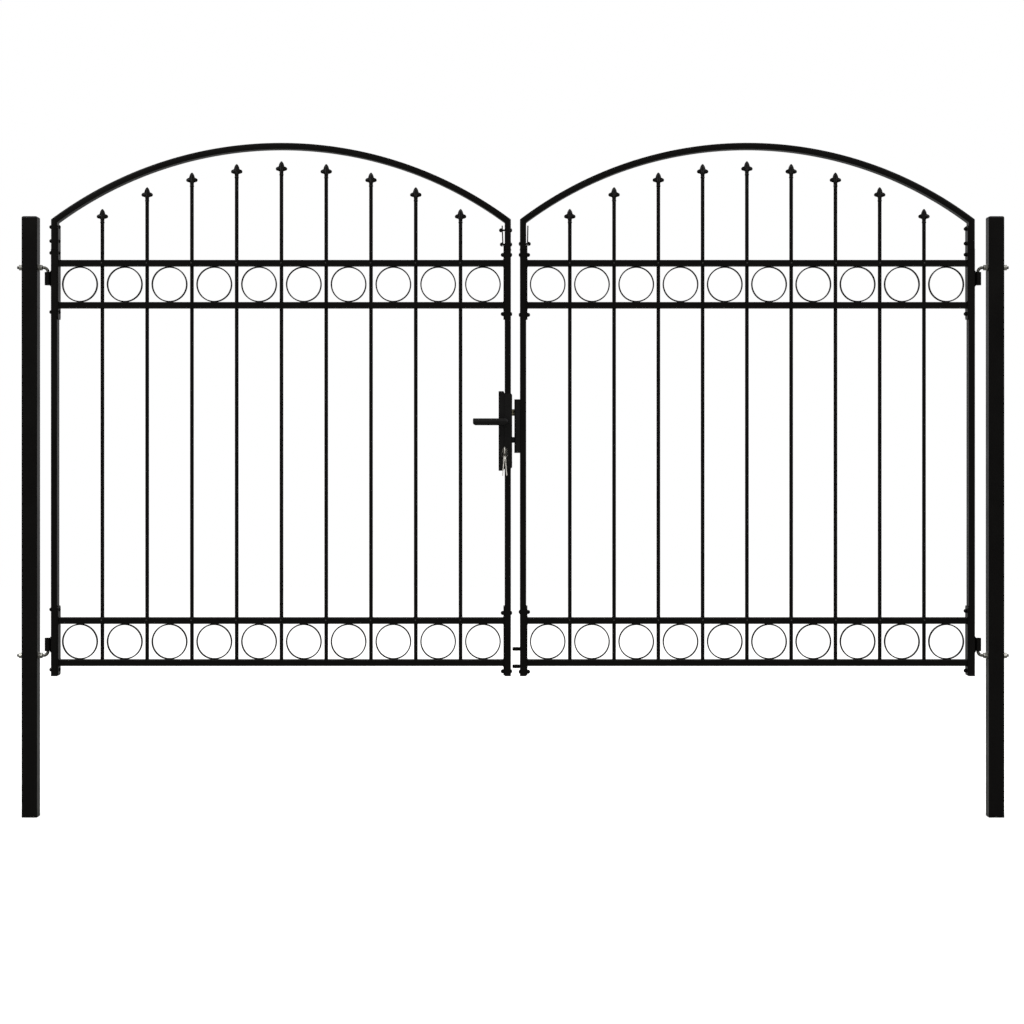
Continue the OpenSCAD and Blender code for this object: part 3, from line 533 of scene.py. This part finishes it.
capLook = {"width": 0.050, "corner": 0.003, "cornerSteps": 7, "lip": 0.0012, "edge": 0.0054,
           "edgeSteps": 9,
           # inset and height of the rings under and over the rounded edge
           "foot": [(0.0005, 0.0), (0.0, 0.0005)],
           "top": [(0.009, 0.00683), (0.015, 0.00694), (0.021, 0.0070)]}


def postCaps():
    # moulded caps: an upright lip, a quarter-round edge and a top that swells a little; each ring
    # is the square drawn in by its inset, at its height
    c = capLook
    turn = np.linspace(0, pi / 2, c["edgeSteps"])
    edge = np.column_stack([c["edge"] * (1 - np.cos(turn)), c["lip"] + c["edge"] * np.sin(turn)])
    rings = []
    for inset, height in np.concatenate([c["foot"], edge, c["top"]]):
        width = c["width"] - 2 * inset
        square = roundRect(width, width, c["corner"], c["cornerSteps"])
        rings.append(np.column_stack([square, np.full(len(square), height)]))
    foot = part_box("post_caps")[0].z
    middles = [(middleOf(name)[0], 0, foot) for name in ("left_post", "right_post")]
    return makePiece("roundedPostCaps", [(copiesAt(np.array(rings)[None], middles), False)],
                     "posts", plastic, ["post_caps"])


postCaps()
print("post caps made")


# The levers turn 92 mm above the key.
lockPlace = {"x": middleOf("key_plug")[0], "keyZ": middleOf("key_plug")[2],
             "leverZ": middleOf("key_plug")[2] + 0.092, "forendX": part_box("forend")[1].x,
             "caseFoot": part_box("lock_case")[0].z, "caseHead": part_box("lock_case")[1].z}
leverLook = {
    "length": 0.101, "half": 0.0105, "lowCorner": 0.007, "topCorner": 0.0026, "armBack": 0.052,
    "hubStart": 0.08, "armStart": 0.01, "armShort": 0.001, "around": 48,
    "hubStations": 14, "armStations": 9, "tipStations": 12,
    # the last two stations draw in about this depth, so that the tip's edge is round
    "tipDraw": (0.97, 0.88), "drawDepth": 0.006,
    # part of the half height, and distance from the arm's back, once round the section in mm
    "section": [(-1, 1.1), (-0.97, 0.4), (-0.9, 0), (-0.5, 0), (0, 0), (0.5, 0), (0.9, 0),
                (0.97, 0.4), (1, 1.1), (1, 7.9), (0.97, 8.8), (0.9, 9.5), (0.5, 10.7),
                (0.12, 11.8), (0, 11.95), (-0.12, 11.8), (-0.5, 10.7), (-0.9, 9.5),
                (-0.97, 8.8), (-1, 7.9)],
    # distance from the middle of the case, and radius, in mm
    "neck": [(22.1, 10.2), (23.0, 10.3), (26.0, 10.0), (30.0, 9.1), (38.0, 8.7), (46.0, 9.0),
             (51.0, 9.9), (52.6, 10.1)],
    "spindle": [(-22.0, 5.0), (22.3, 5.0)],
    # the grub screw under the neck: its profile in mm, and how far out and down it sits
    "screw": [(-3.0, 2.4), (0.15, 2.4), (0.25, 2.2), (0.25, 1.3), (-1.2, 1.2), (-1.2, 0.2)],
    "screwOut": 0.034, "screwDown": 0.0088,
}


def leverHandle(name, replaced, way):
    # stations run from the hub's round end to the tip; at each the arm spans from low to high,
    # both of them circles at the ends, and the section is stretched between the two
    look, r = leverLook, leverLook["half"]
    length, rl, rt = look["length"], look["lowCorner"], look["topCorner"]
    hub = np.linspace(look["hubStart"], pi / 2, look["hubStations"])
    straight = np.linspace(look["armStart"], length - rl - look["armShort"], look["armStations"])
    tip = np.linspace(0, pi / 2, look["tipStations"])
    x = np.concatenate([r * np.cos(hub), -straight, rl - length - rl * np.sin(tip)])
    lowDepth = np.clip(-x - length + rl, 0, rl)
    topDepth = np.clip(-x - length + rt, 0, rt)
    low = -r + rl - np.sqrt(rl ** 2 - lowDepth ** 2)
    high = r - rt + np.sqrt(rt ** 2 - topDepth ** 2)
    end = np.sin(hub)
    low[:len(hub)], high[:len(hub)] = -r * end, r * end
    section = np.array(look["section"])
    draw = np.ones(len(x))
    draw[-2:] = look["tipDraw"]
    middle = (low + high) / 2
    z = middle[:, None] + (high - low)[:, None] / 2 * section[None, :, 0] * draw[:, None]
    depth = look["drawDepth"] + (section[None, :, 1] * mm - look["drawDepth"]) * draw[:, None]
    x = x[:, None] * np.ones(len(section))
    arm = np.stack([lockPlace["x"] + x, way * (look["armBack"] + depth), lockPlace["leverZ"] + z],
                   axis=-1)
    middle = (lockPlace["x"], 0, lockPlace["leverZ"])
    neck = lathe(np.array(look["neck"]) * mm, (0, way, 0), look["around"])
    screw = lathe(np.array(look["screw"]) * mm, (0, 0, -1))
    screwPlace = (lockPlace["x"], way * look["screwOut"], lockPlace["leverZ"] - look["screwDown"])
    parts = [(arm[None], False), (copiesAt(neck, [middle]), False),
             (copiesAt(screw, [screwPlace]), False)]
    if way > 0:
        parts.append((copiesAt(lathe(np.array(look["spindle"]) * mm, (0, 1, 0)), [middle]), False))
    return makePiece(name, parts, "lever", lockCoat, [replaced])


leverHandle("frontLeverHandle", "front_lever", -1)
leverHandle("backLeverHandle", "back_lever", 1)
print("lever handles made")


# The wire's half sizes along the ring's radius and across it; its ends thin to the last value.
wireRing = {"inset": 0.001, "halfReach": 0.00092, "halfAcross": 0.0005, "endGap": 0.06,
            "stepOver": 0.5, "stations": 190, "around": 10, "endSize": 0.55}


def splitRing():
    # sprung wire wound twice: angle runs from 0 to 4 pi, and the wire steps across by its own
    # thickness over a short stretch in the middle
    look = wireRing
    low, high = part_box("key_ring")
    radius = (high.z - low.z) / 2 - look["inset"]
    angle = np.linspace(look["endGap"], 4 * pi - look["endGap"], look["stations"])
    across = look["halfAcross"] * np.clip((angle - 2 * pi) / look["stepOver"], -1, 1)
    section = np.linspace(0, 2 * pi, look["around"], endpoint=False)
    thick = np.ones(len(angle))
    thick[[0, -1]] = look["endSize"]
    reach = radius + look["halfReach"] * thick[:, None] * np.cos(section)
    points = np.stack([reach * np.cos(angle)[:, None],
                       across[:, None] + look["halfAcross"] * thick[:, None] * np.sin(section),
                       reach * np.sin(angle)[:, None]], axis=-1)
    return makePiece("splitKeyRing", [(copiesAt(points[None], [middleOf("key_ring")]), False)],
                     "hanging_keys", wire, ["key_ring"])


splitRing()
print("key ring made")


spareKeysLook = {"turn": radians(6), "aside": 0.0019, "mergeWithin": 0.000002, "smoothAngle": 30}


def turnedKeys():
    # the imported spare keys, each turned about the upright line through its hole, so that the
    # front shows a little of their flat sides: x' = x cos a - y sin a, y' = x sin a + y cos a
    mesh = nodes["spare_keys"].data.copy()
    mesh.name = "turnedSpareKeys"
    shell = bmesh.new()
    shell.from_mesh(mesh)
    bmesh.ops.remove_doubles(shell, verts=shell.verts, dist=spareKeysLook["mergeWithin"])
    bmesh.ops.recalc_face_normals(shell, faces=shell.faces)
    shell.to_mesh(mesh)
    shell.free()
    points = np.empty(len(mesh.vertices) * 3, np.float32)
    mesh.vertices.foreach_get("co", points)
    points = points.reshape(-1, 3)
    hand = np.sign(points[:, 0] - lockPlace["x"])
    pivot = np.stack([lockPlace["x"] + hand * spareKeysLook["aside"],
                      middleOf("key_ring")[1] + 0 * hand], axis=-1)
    a = spareKeysLook["turn"]
    turned = (points[:, :2] - pivot) @ np.array([[np.cos(a), np.sin(a)], [-np.sin(a), np.cos(a)]])
    points[:, :2] = pivot + turned
    mesh.vertices.foreach_set("co", points.ravel())
    mesh.update()
    mesh.polygons.foreach_set("use_smooth", np.ones(len(mesh.polygons), bool))
    mesh.set_sharp_from_angle(angle=radians(spareKeysLook["smoothAngle"]))
    keys = bpy.data.objects.new("turnedSpareKeys", mesh)
    bpy.context.scene.collection.objects.link(keys)
    mesh.materials.clear()
    mesh.materials.append(nickel)
    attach(keys, "hanging_keys")
    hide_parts("spare_keys")


turnedKeys()
print("spare keys made")


lockTrimLook = {
    # bearing rings round the necks: distance from the middle of the case, and radius, in mm
    "rosette": [(18.5, 12.0), (23.2, 12.0), (23.8, 11.4), (23.8, 10.8), (22.5, 10.7), (22.5, 9.0)],
    # countersunk screws with a round socket: height over the face, and radius, in mm
    "screw": [(-1.6, 3.2), (0.05, 4.2), (0.2, 4.0), (0.2, 2.2), (-1.2, 2.1), (-1.2, 0.3)],
    "rosetteAround": 48, "screwAround": 30,
    # the outer screws' distance from the ends of the case
    "ends": 0.024,
}


def lockTrim():
    look, p = lockTrimLook, lockPlace
    batches = []
    for way in (-1, 1):
        rosette = lathe(np.array(look["rosette"]) * mm, (0, way, 0), look["rosetteAround"])
        batches.append((copiesAt(rosette, [(p["x"], 0, p["leverZ"])]), False))
    screw = lathe(np.array(look["screw"]) * mm, (1, 0, 0), look["screwAround"])
    heights = (p["caseFoot"] + look["ends"], p["keyZ"], p["caseHead"] - look["ends"])
    batches.append((copiesAt(screw, [(p["forendX"], 0, z) for z in heights]), False))
    return makePiece("lockScrews", batches, "left_leaf", oxide)


lockTrim()
print("lock trim made")


# The slot's corners are a hair smaller than half its width, so that no two of its points meet.
keywayLook = {"slot": (0.0016, 0.0078), "corner": 0.00079, "cornerSteps": 6, "up": 0.0012,
              "proud": 0.00006, "deep": 0.0008}


def backKeywayShadePlate():
    # the slot for a key on the cylinder's far side: an upright round-ended opening, drawn as a
    # thin dark plate that lies almost flush in the plug's face, its dark oxide painted shade in
    # place of the slot's depth
    look = keywayLook
    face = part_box("key_plug")[1].y
    slot = roundRect(*look["slot"], look["corner"], look["cornerSteps"])
    rings = [np.column_stack([slot[:, 0], np.full(len(slot), y), slot[:, 1]])
             for y in (face - look["deep"], face + look["proud"])]
    place = [(lockPlace["x"], 0, lockPlace["keyZ"] + look["up"])]
    return makePiece("backKeywayShadePlate", [(copiesAt(np.array(rings)[None], place), False)],
                     "turned_key", oxide)


backKeywayShadePlate()
print("keyway made")


# Strap bolts: cap nuts with a pointed dome, round heads, and low heads that lie nearly flush.
# Profiles are (height over the face, radius).
boltLook = {
    "nut": [(0.0, 0.0068), (0.0031, 0.0068), (0.0039, 0.0062), (0.0054, 0.0057), (0.0069, 0.0047),
            (0.0079, 0.0034), (0.0086, 0.0017), (0.0088, 0.0003)],
    "head": [(0.0, 0.0060), (0.0007, 0.0064), (0.0018, 0.0060), (0.0030, 0.0046), (0.0038, 0.0026),
             (0.0041, 0.0012), (0.0042, 0.0003)],
    "low": [(0.0, 0.0060), (0.0004, 0.0064), (0.0009, 0.0060), (0.0014, 0.0044), (0.0017, 0.0024),
            (0.0018, 0.0003)],
    "shank": [(0.0, 0.003), (0.006, 0.003)],
    # a nut is a hexagon up to this height; a shank shows where a strap stands off by more
    "flats": 0.0031, "shankFrom": 0.001, "nutAround": 36,
    "heights": {
        "leftHinge": (1.8925, 1.8475, 1.8095, 1.6195, 0.6645, 0.4715),
        "leftMeeting": (1.8820, 1.8365, 1.8030, 1.6130, 0.6535, 0.4660),
        "rightMeeting": (1.8385, 1.8030, 1.6105, 0.6565, 0.4645),
        "rightHinge": (1.8865, 1.8395, 1.8040, 1.6135, 0.6600, 0.4680),
    },
    # what shows outside the stile and on the strap
    "kinds": {"leftHinge": ("nut", "head"), "leftMeeting": ("head", "nut"),
              "rightMeeting": ("head", "nut"), "rightHinge": ("low", "nut")},
}


def hexNut(profile, axis):
    # the lathe's rings are pulled in to a hexagon as far as the flats reach
    around = boltLook["nutAround"]
    shape = lathe(profile, axis, around)
    turn = np.linspace(0, 2 * pi, around, endpoint=False)
    hexagon = np.cos(pi / 6) / np.cos((turn % (pi / 3)) - pi / 6)
    axis = np.array(axis, float)
    depth = (shape * axis).sum(-1, keepdims=True) * axis
    base = shape - depth
    amount = (np.array(profile)[:, 0] <= boltLook["flats"])[None, :, None, None]
    return depth + base * np.where(amount, hexagon[None, None, :, None], 1)


def strapBolts(side, leaf):
    w, s, t = leaf["width"], fs["stileWidth"], fs["strapThickness"]
    batches = []
    for place, outerX, innerX, facing in (("Hinge", 0, s + t, -1), ("Meeting", w, w - s - t, 1)):
        heights = np.array(boltLook["heights"][side + place])
        off = np.zeros(len(heights))
        if place == "Meeting":
            off = np.interp(heights, fs["strapBend"], fs[side + "StrapOff"])
        outer, inner = boltLook["kinds"][side + place]
        for x, way, kind, shift in ((outerX, facing, outer, 0 * off),
                                    (innerX, -facing, inner, off),
                                    (innerX + facing * t, -facing, "shank", 0 * off)):
            axis = (way * leaf["sense"], 0, 0)
            shape = (hexNut if kind == "nut" else lathe)(boltLook[kind], axis)
            used = off > (boltLook["shankFrom"] if kind == "shank" else -1)
            if not used.any():
                continue
            spots = acrossLeaf(leaf, x + way * shift[used])
            places = np.stack([spots, 0 * spots, heights[used]], axis=-1)
            batches.append((copiesAt(shape, places), False))
    return makePiece(side + "StrapBolts", batches, leaf["body"], coat)


for side, leaf in leafData.items():
    strapBolts(side, leaf)
print("strap bolts made")


ringLook = {"radius": 0.0573, "strip": 0.0040, "width": 0.012, "edge": 0.0008, "edgeSteps": 3,
            "around": 72}


def stripRings(side, leaf, band):
    # flat bar rolled into a ring: a round-edged strip turned about the ring's level axis
    look = ringLook
    turn = np.linspace(0, 2 * pi, look["around"], endpoint=False)[:, None]
    strip = roundRect(look["strip"], look["width"], look["edge"], look["edgeSteps"])
    reach = look["radius"] - look["strip"] / 2 + strip[:, 0]
    ring = np.stack([reach * np.cos(turn), strip[:, 1] * np.ones_like(turn),
                     reach * np.sin(turn)], axis=-1)[None]
    middle = middleOf(side + "_" + band + "_rings")[2]
    places = [(x, 0, middle) for x in acrossLeaf(leaf, leaf["ringX"])]
    return makePiece(side + band.capitalize() + "StripRings", [(copiesAt(ring, places), True)],
                     leaf["body"], coat, [side + "_" + band + "_rings"])


for side, leaf in leafData.items():
    for band in ("upper", "lower"):
        stripRings(side, leaf, band)
print("rings made")


screwLook = {"head": [(0.0, 0.0024), (0.0005, 0.0024), (0.0011, 0.0018), (0.0013, 0.0003)],
             "railHeights": (0.631, 1.776), "aside": 0.0006, "around": 14}


def barScrews(side, leaf):
    shape = lathe(screwLook["head"], (0, -1, 0), screwLook["around"])
    x = acrossLeaf(leaf, leaf["barX"]) - screwLook["aside"]
    places = [(a, -fs["railDepth"] / 2, z) for z in screwLook["railHeights"] for a in x]
    return makePiece(side + "BarScrews", [(copiesAt(shape, places), False)], leaf["body"], wire)


for side, leaf in leafData.items():
    barScrews(side, leaf)
print("bar screws made")


weldLook = {
    # width and height of each bead's section, and the three half sizes of a tack
    "railEnd": (0.0036, 0.0022), "seam": (0.0026, 0.0010), "eye": (0.0040, 0.0028),
    "collar": (0.0030, 0.0024), "tack": (0.0070, 0.0050, 0.0014),
    # ripples in mm, how much a bead swells in them, and its size at an open end
    "ripple": 2.4, "collarRipple": 3.2, "swell": 0.14, "endSize": 0.25, "around": 10,
    # the beads' lines: corners of the rail and stile that they follow, and their distance from
    # the faces
    "cornerSteps": 12, "railCorner": 0.003, "railPast": 0.001, "railOff": 0.0004,
    "stileCorner": 0.002, "collarRadius": 0.0066, "collarSteps": 40,
    "tackIn": 0.0103, "tackSteps": (9, 14), "tackCut": 0.08,
    # the eyes' weld plates: heights, half length, distance to each side and off the stile
    "eyeHeights": (1.7267, 0.5523), "eyeHalf": 0.030, "eyeAside": 0.0035, "eyeOff": 0.0008,
    "eyeSteps": 90,
    "smoothAngle": 60,
}


def bead(path, width, height, along, loop=False, ripple=weldLook["ripple"]):
    # weld bead: an oval section carried along a path, swelling and shrinking once every ripple mm;
    # along is the unit direction of the section's height
    path = np.array(path, float)
    tangent = np.gradient(path, axis=0)
    if loop:
        tangent = np.roll(path, -1, axis=0) - np.roll(path, 1, axis=0)
    tangent /= np.linalg.norm(tangent, axis=1, keepdims=True)
    up = np.array(along, float) * np.ones_like(path)
    across = np.cross(tangent, up)
    across /= np.linalg.norm(across, axis=1, keepdims=True)
    steps = np.linalg.norm(np.diff(path, axis=0), axis=1)
    length = np.concatenate([[0], np.cumsum(steps)])
    swell = 1 + weldLook["swell"] * np.sin(2 * pi * length / (ripple * mm))
    if not loop:
        swell[[0, -1]] *= weldLook["endSize"]
    swell = swell[:, None, None]
    turn = np.linspace(0, 2 * pi, weldLook["around"], endpoint=False)[None, :, None]
    return (path[:, None, :] + swell * np.cos(turn) * across[:, None, :] * width / 2
            + swell * np.sin(turn) * up[:, None, :] * height / 2)[None]


def weldBeads(side, leaf):
    look, batches = weldLook, []
    w, s, t = leaf["width"], fs["stileWidth"], fs["strapThickness"]
    rail = roundRect(fs["railHeight"] + look["railPast"], fs["railDepth"] + look["railPast"],
                     look["railCorner"], look["cornerSteps"])
    for x, way in ((s + t, 1), (w - s - t, -1)):
        for z in fs["railHeights"]:
            path = np.stack([np.full(len(rail), acrossLeaf(leaf, x + way * look["railOff"])),
                             rail[:, 1], z + rail[:, 0]], axis=-1)
            batches.append((bead(path, *look["railEnd"], (1, 0, 0), loop=True), True))
    stile = roundRect(s, fs["stileDepth"], look["stileCorner"], look["cornerSteps"])
    for x in (s / 2, w - s / 2):
        path = np.stack([acrossLeaf(leaf, x + stile[:, 0]), stile[:, 1],
                         np.full(len(stile), fs["stileTop"])], axis=-1)
        batches.append((bead(path, *look["seam"], (0, 0, 1), loop=True), True))
    # collars where the bars stand on the lower band
    turn = np.linspace(0, 2 * pi, look["collarSteps"], endpoint=False)
    collar = np.stack([look["collarRadius"] * np.cos(turn), look["collarRadius"] * np.sin(turn),
                       0 * turn], axis=-1)
    ring = bead(collar, *look["collar"], (0, 0, 1), loop=True, ripple=look["collarRipple"])
    standing = fs["railHeights"][1] + fs["railHeight"] / 2
    places = [(x, 0, standing) for x in acrossLeaf(leaf, leaf["barX"])]
    batches.append((copiesAt(ring, places), True))
    # tacks at the top and foot of every ring: half an oval each, from pole to pole along X
    poles, around = look["tackSteps"]
    lat = np.linspace(-pi / 2 + look["tackCut"], pi / 2 - look["tackCut"], poles)[:, None]
    lon = np.linspace(0, 2 * pi, around, endpoint=False)
    a, b, c = look["tack"]
    tack = np.stack([a * np.sin(lat) * np.ones_like(lon), b * np.cos(lat) * np.cos(lon),
                     c * np.cos(lat) * np.sin(lon)], axis=-1)[None]
    places = [(x, 0, z + way * look["tackIn"]) for x in acrossLeaf(leaf, leaf["ringX"])
              for z, way in zip(fs["railHeights"], (1, -1, 1, -1))]
    batches.append((copiesAt(tack, places), False))
    # both sides of each eye's weld plate
    for mid in look["eyeHeights"]:
        z = np.linspace(mid - look["eyeHalf"], mid + look["eyeHalf"], look["eyeSteps"])
        x = np.full(len(z), acrossLeaf(leaf, -look["eyeOff"]))
        for y in (-look["eyeAside"], look["eyeAside"]):
            path = np.stack([x, np.full(len(z), y), z], axis=-1)
            batches.append((bead(path, *look["eye"], (0, 1, 0)), False))
    return makePiece(side + "WeldBeads", batches, leaf["body"], coat,
                     smoothAngle=look["smoothAngle"])


for side, leaf in leafData.items():
    weldBeads(side, leaf)
print("weld beads made")


floorLook = {"size": 24.0, "steps": 25, "middleX": 1.548, "down": 0.0005, "paper": "#e6e6e4",
             "glow": 0.55, "reflected": "#a3a3a1"}


def paleFloor():
    # a level white sheet just under the posts' feet: z = -down over a square grid
    size, steps = floorLook["size"], floorLook["steps"]
    grid = np.linspace(-size / 2, size / 2, steps)
    x, y = np.meshgrid(grid + floorLook["middleX"], grid, indexing="ij")
    z = -floorLook["down"] * np.ones_like(x)
    points = np.stack([x, y, z], axis=-1).reshape(-1, 3)
    index = np.arange(steps * steps).reshape(steps, steps)
    quads = np.stack([index[:-1, :-1], index[1:, :-1], index[1:, 1:], index[:-1, 1:]], axis=-1)
    mesh = bpy.data.meshes.new("groundSheet")
    mesh.from_pydata(points.tolist(), [], quads.reshape(-1, 4).tolist())
    floor = bpy.data.objects.new("groundSheet", mesh)
    bpy.context.scene.collection.objects.link(floor)
    material, tree, output, place = newMaterial("palePaper")
    rays = addNode(tree, "ShaderNodeLightPath")
    paper = addNode(tree, "ShaderNodeBsdfDiffuse", {"Color": toLinear(floorLook["paper"])})
    glow = addNode(tree, "ShaderNodeEmission", {"Color": (1, 1, 1, 1),
                   "Strength": floorLook["glow"]})
    both = addNode(tree, "ShaderNodeAddShader", None, {0: paper.outputs[0], 1: glow.outputs[0]})
    # reflections meet it at a lower level, as on ground that isn't white
    dim = addNode(tree, "ShaderNodeBsdfDiffuse", {"Color": toLinear(floorLook["reflected"])})
    lit = addNode(tree, "ShaderNodeMixShader", None,
                  {0: rays.outputs["Is Glossy Ray"], 1: paper.outputs[0], 2: dim.outputs[0]})
    seen = addNode(tree, "ShaderNodeMixShader", None,
                   {0: rays.outputs["Is Camera Ray"], 1: lit.outputs[0], 2: both.outputs[0]})
    tree.links.new(seen.outputs[0], output.inputs[0])
    mesh.materials.append(material)


worldLook = {
    # level of the soft light, and of what reflections meet at the sides
    "level": 0.55, "side": 0.14,
    # part of the direction, where it starts to count and counts in full, and what it adds
    "rises": [("Y", -0.3, -0.95, 0.16), ("Y", 0.3, 0.95, 0.26), ("Z", 0.03, 0.6, 0.5)],
}


def studioWorld():
    # white to the camera; an even grey for soft light; reflections meet a grey room that is
    # lighter in front, behind and overhead than at the sides
    world = bpy.data.worlds.new("studioWorld")
    bpy.context.scene.world = world
    world.use_nodes = True
    tree = world.node_tree
    tree.nodes.clear()
    output = addNode(tree, "ShaderNodeOutputWorld")
    rays = addNode(tree, "ShaderNodeLightPath")
    direction = addNode(tree, "ShaderNodeTexCoord").outputs["Generated"]
    parts = addNode(tree, "ShaderNodeSeparateXYZ", None, {0: direction})
    room = addNode(tree, "ShaderNodeValue").outputs[0]
    room.default_value = worldLook["side"]
    for axis, start, full, rise in worldLook["rises"]:
        part = mapRange(tree, parts.outputs[axis], start, full, 0.0, rise)
        room = addNode(tree, "ShaderNodeMath", {"operation": "ADD"}, {0: part, 1: room}).outputs[0]
    shiny = addNode(tree, "ShaderNodeMath", {"operation": "MAXIMUM"},
                    {0: rays.outputs["Is Glossy Ray"], 1: rays.outputs["Is Transmission Ray"]})
    level = addNode(tree, "ShaderNodeMix", {"data_type": "FLOAT", 2: worldLook["level"]},
                    {0: shiny.outputs[0], 3: room})
    seen = addNode(tree, "ShaderNodeMix", {"data_type": "FLOAT", 3: 1.0},
                   {0: rays.outputs["Is Camera Ray"], 2: level.outputs[0]})
    light = addNode(tree, "ShaderNodeBackground", {"Color": (1, 1, 1, 1)},
                    {"Strength": seen.outputs[0]})
    tree.links.new(light.outputs[0], output.inputs[0])


# Name, place, aim, power in watts and diameter of each soft lamp.
lamps = [
    ("keyLamp", (-3.4, -5.2, 6.4), (1.4, 0, 1.0), 380.0, 3.2),
    ("fillLamp", (6.4, -4.4, 6.0), (1.6, 0, 1.0), 230.0, 3.6),
    ("backLamp", (1.5, 5.5, 5.5), (1.5, 0, 1.2), 120.0, 3.0),
]


def softLamp(name, place, aim, power, size):
    data = bpy.data.lights.new(name, "AREA")
    data.shape = "DISK"
    data.size = size
    data.energy = power
    lamp = bpy.data.objects.new(name, data)
    bpy.context.scene.collection.objects.link(lamp)
    lamp.location = place
    lamp.rotation_euler = (Vector(aim) - Vector(place)).to_track_quat("-Z", "Y").to_euler()


cameraLook = {"place": (1.545, -7.225, 1.180), "lens": 79.1, "sensor": 36.0, "shiftY": -0.0616,
              "clipEnd": 200.0}


def photoCamera():
    # level, looking straight at the gate along Y
    data = bpy.data.cameras.new("photoCamera")
    data.lens = cameraLook["lens"]
    data.sensor_width = cameraLook["sensor"]
    data.shift_y = cameraLook["shiftY"]
    data.clip_end = cameraLook["clipEnd"]
    camera = bpy.data.objects.new("photoCamera", data)
    bpy.context.scene.collection.objects.link(camera)
    camera.location = cameraLook["place"]
    camera.rotation_euler = (radians(90), 0, 0)
    bpy.context.scene.camera = camera


paleFloor()
studioWorld()
for lamp in lamps:
    softLamp(*lamp)
photoCamera()
bpy.context.scene.view_settings.view_transform = "Standard"
print("floor, lights and camera set")
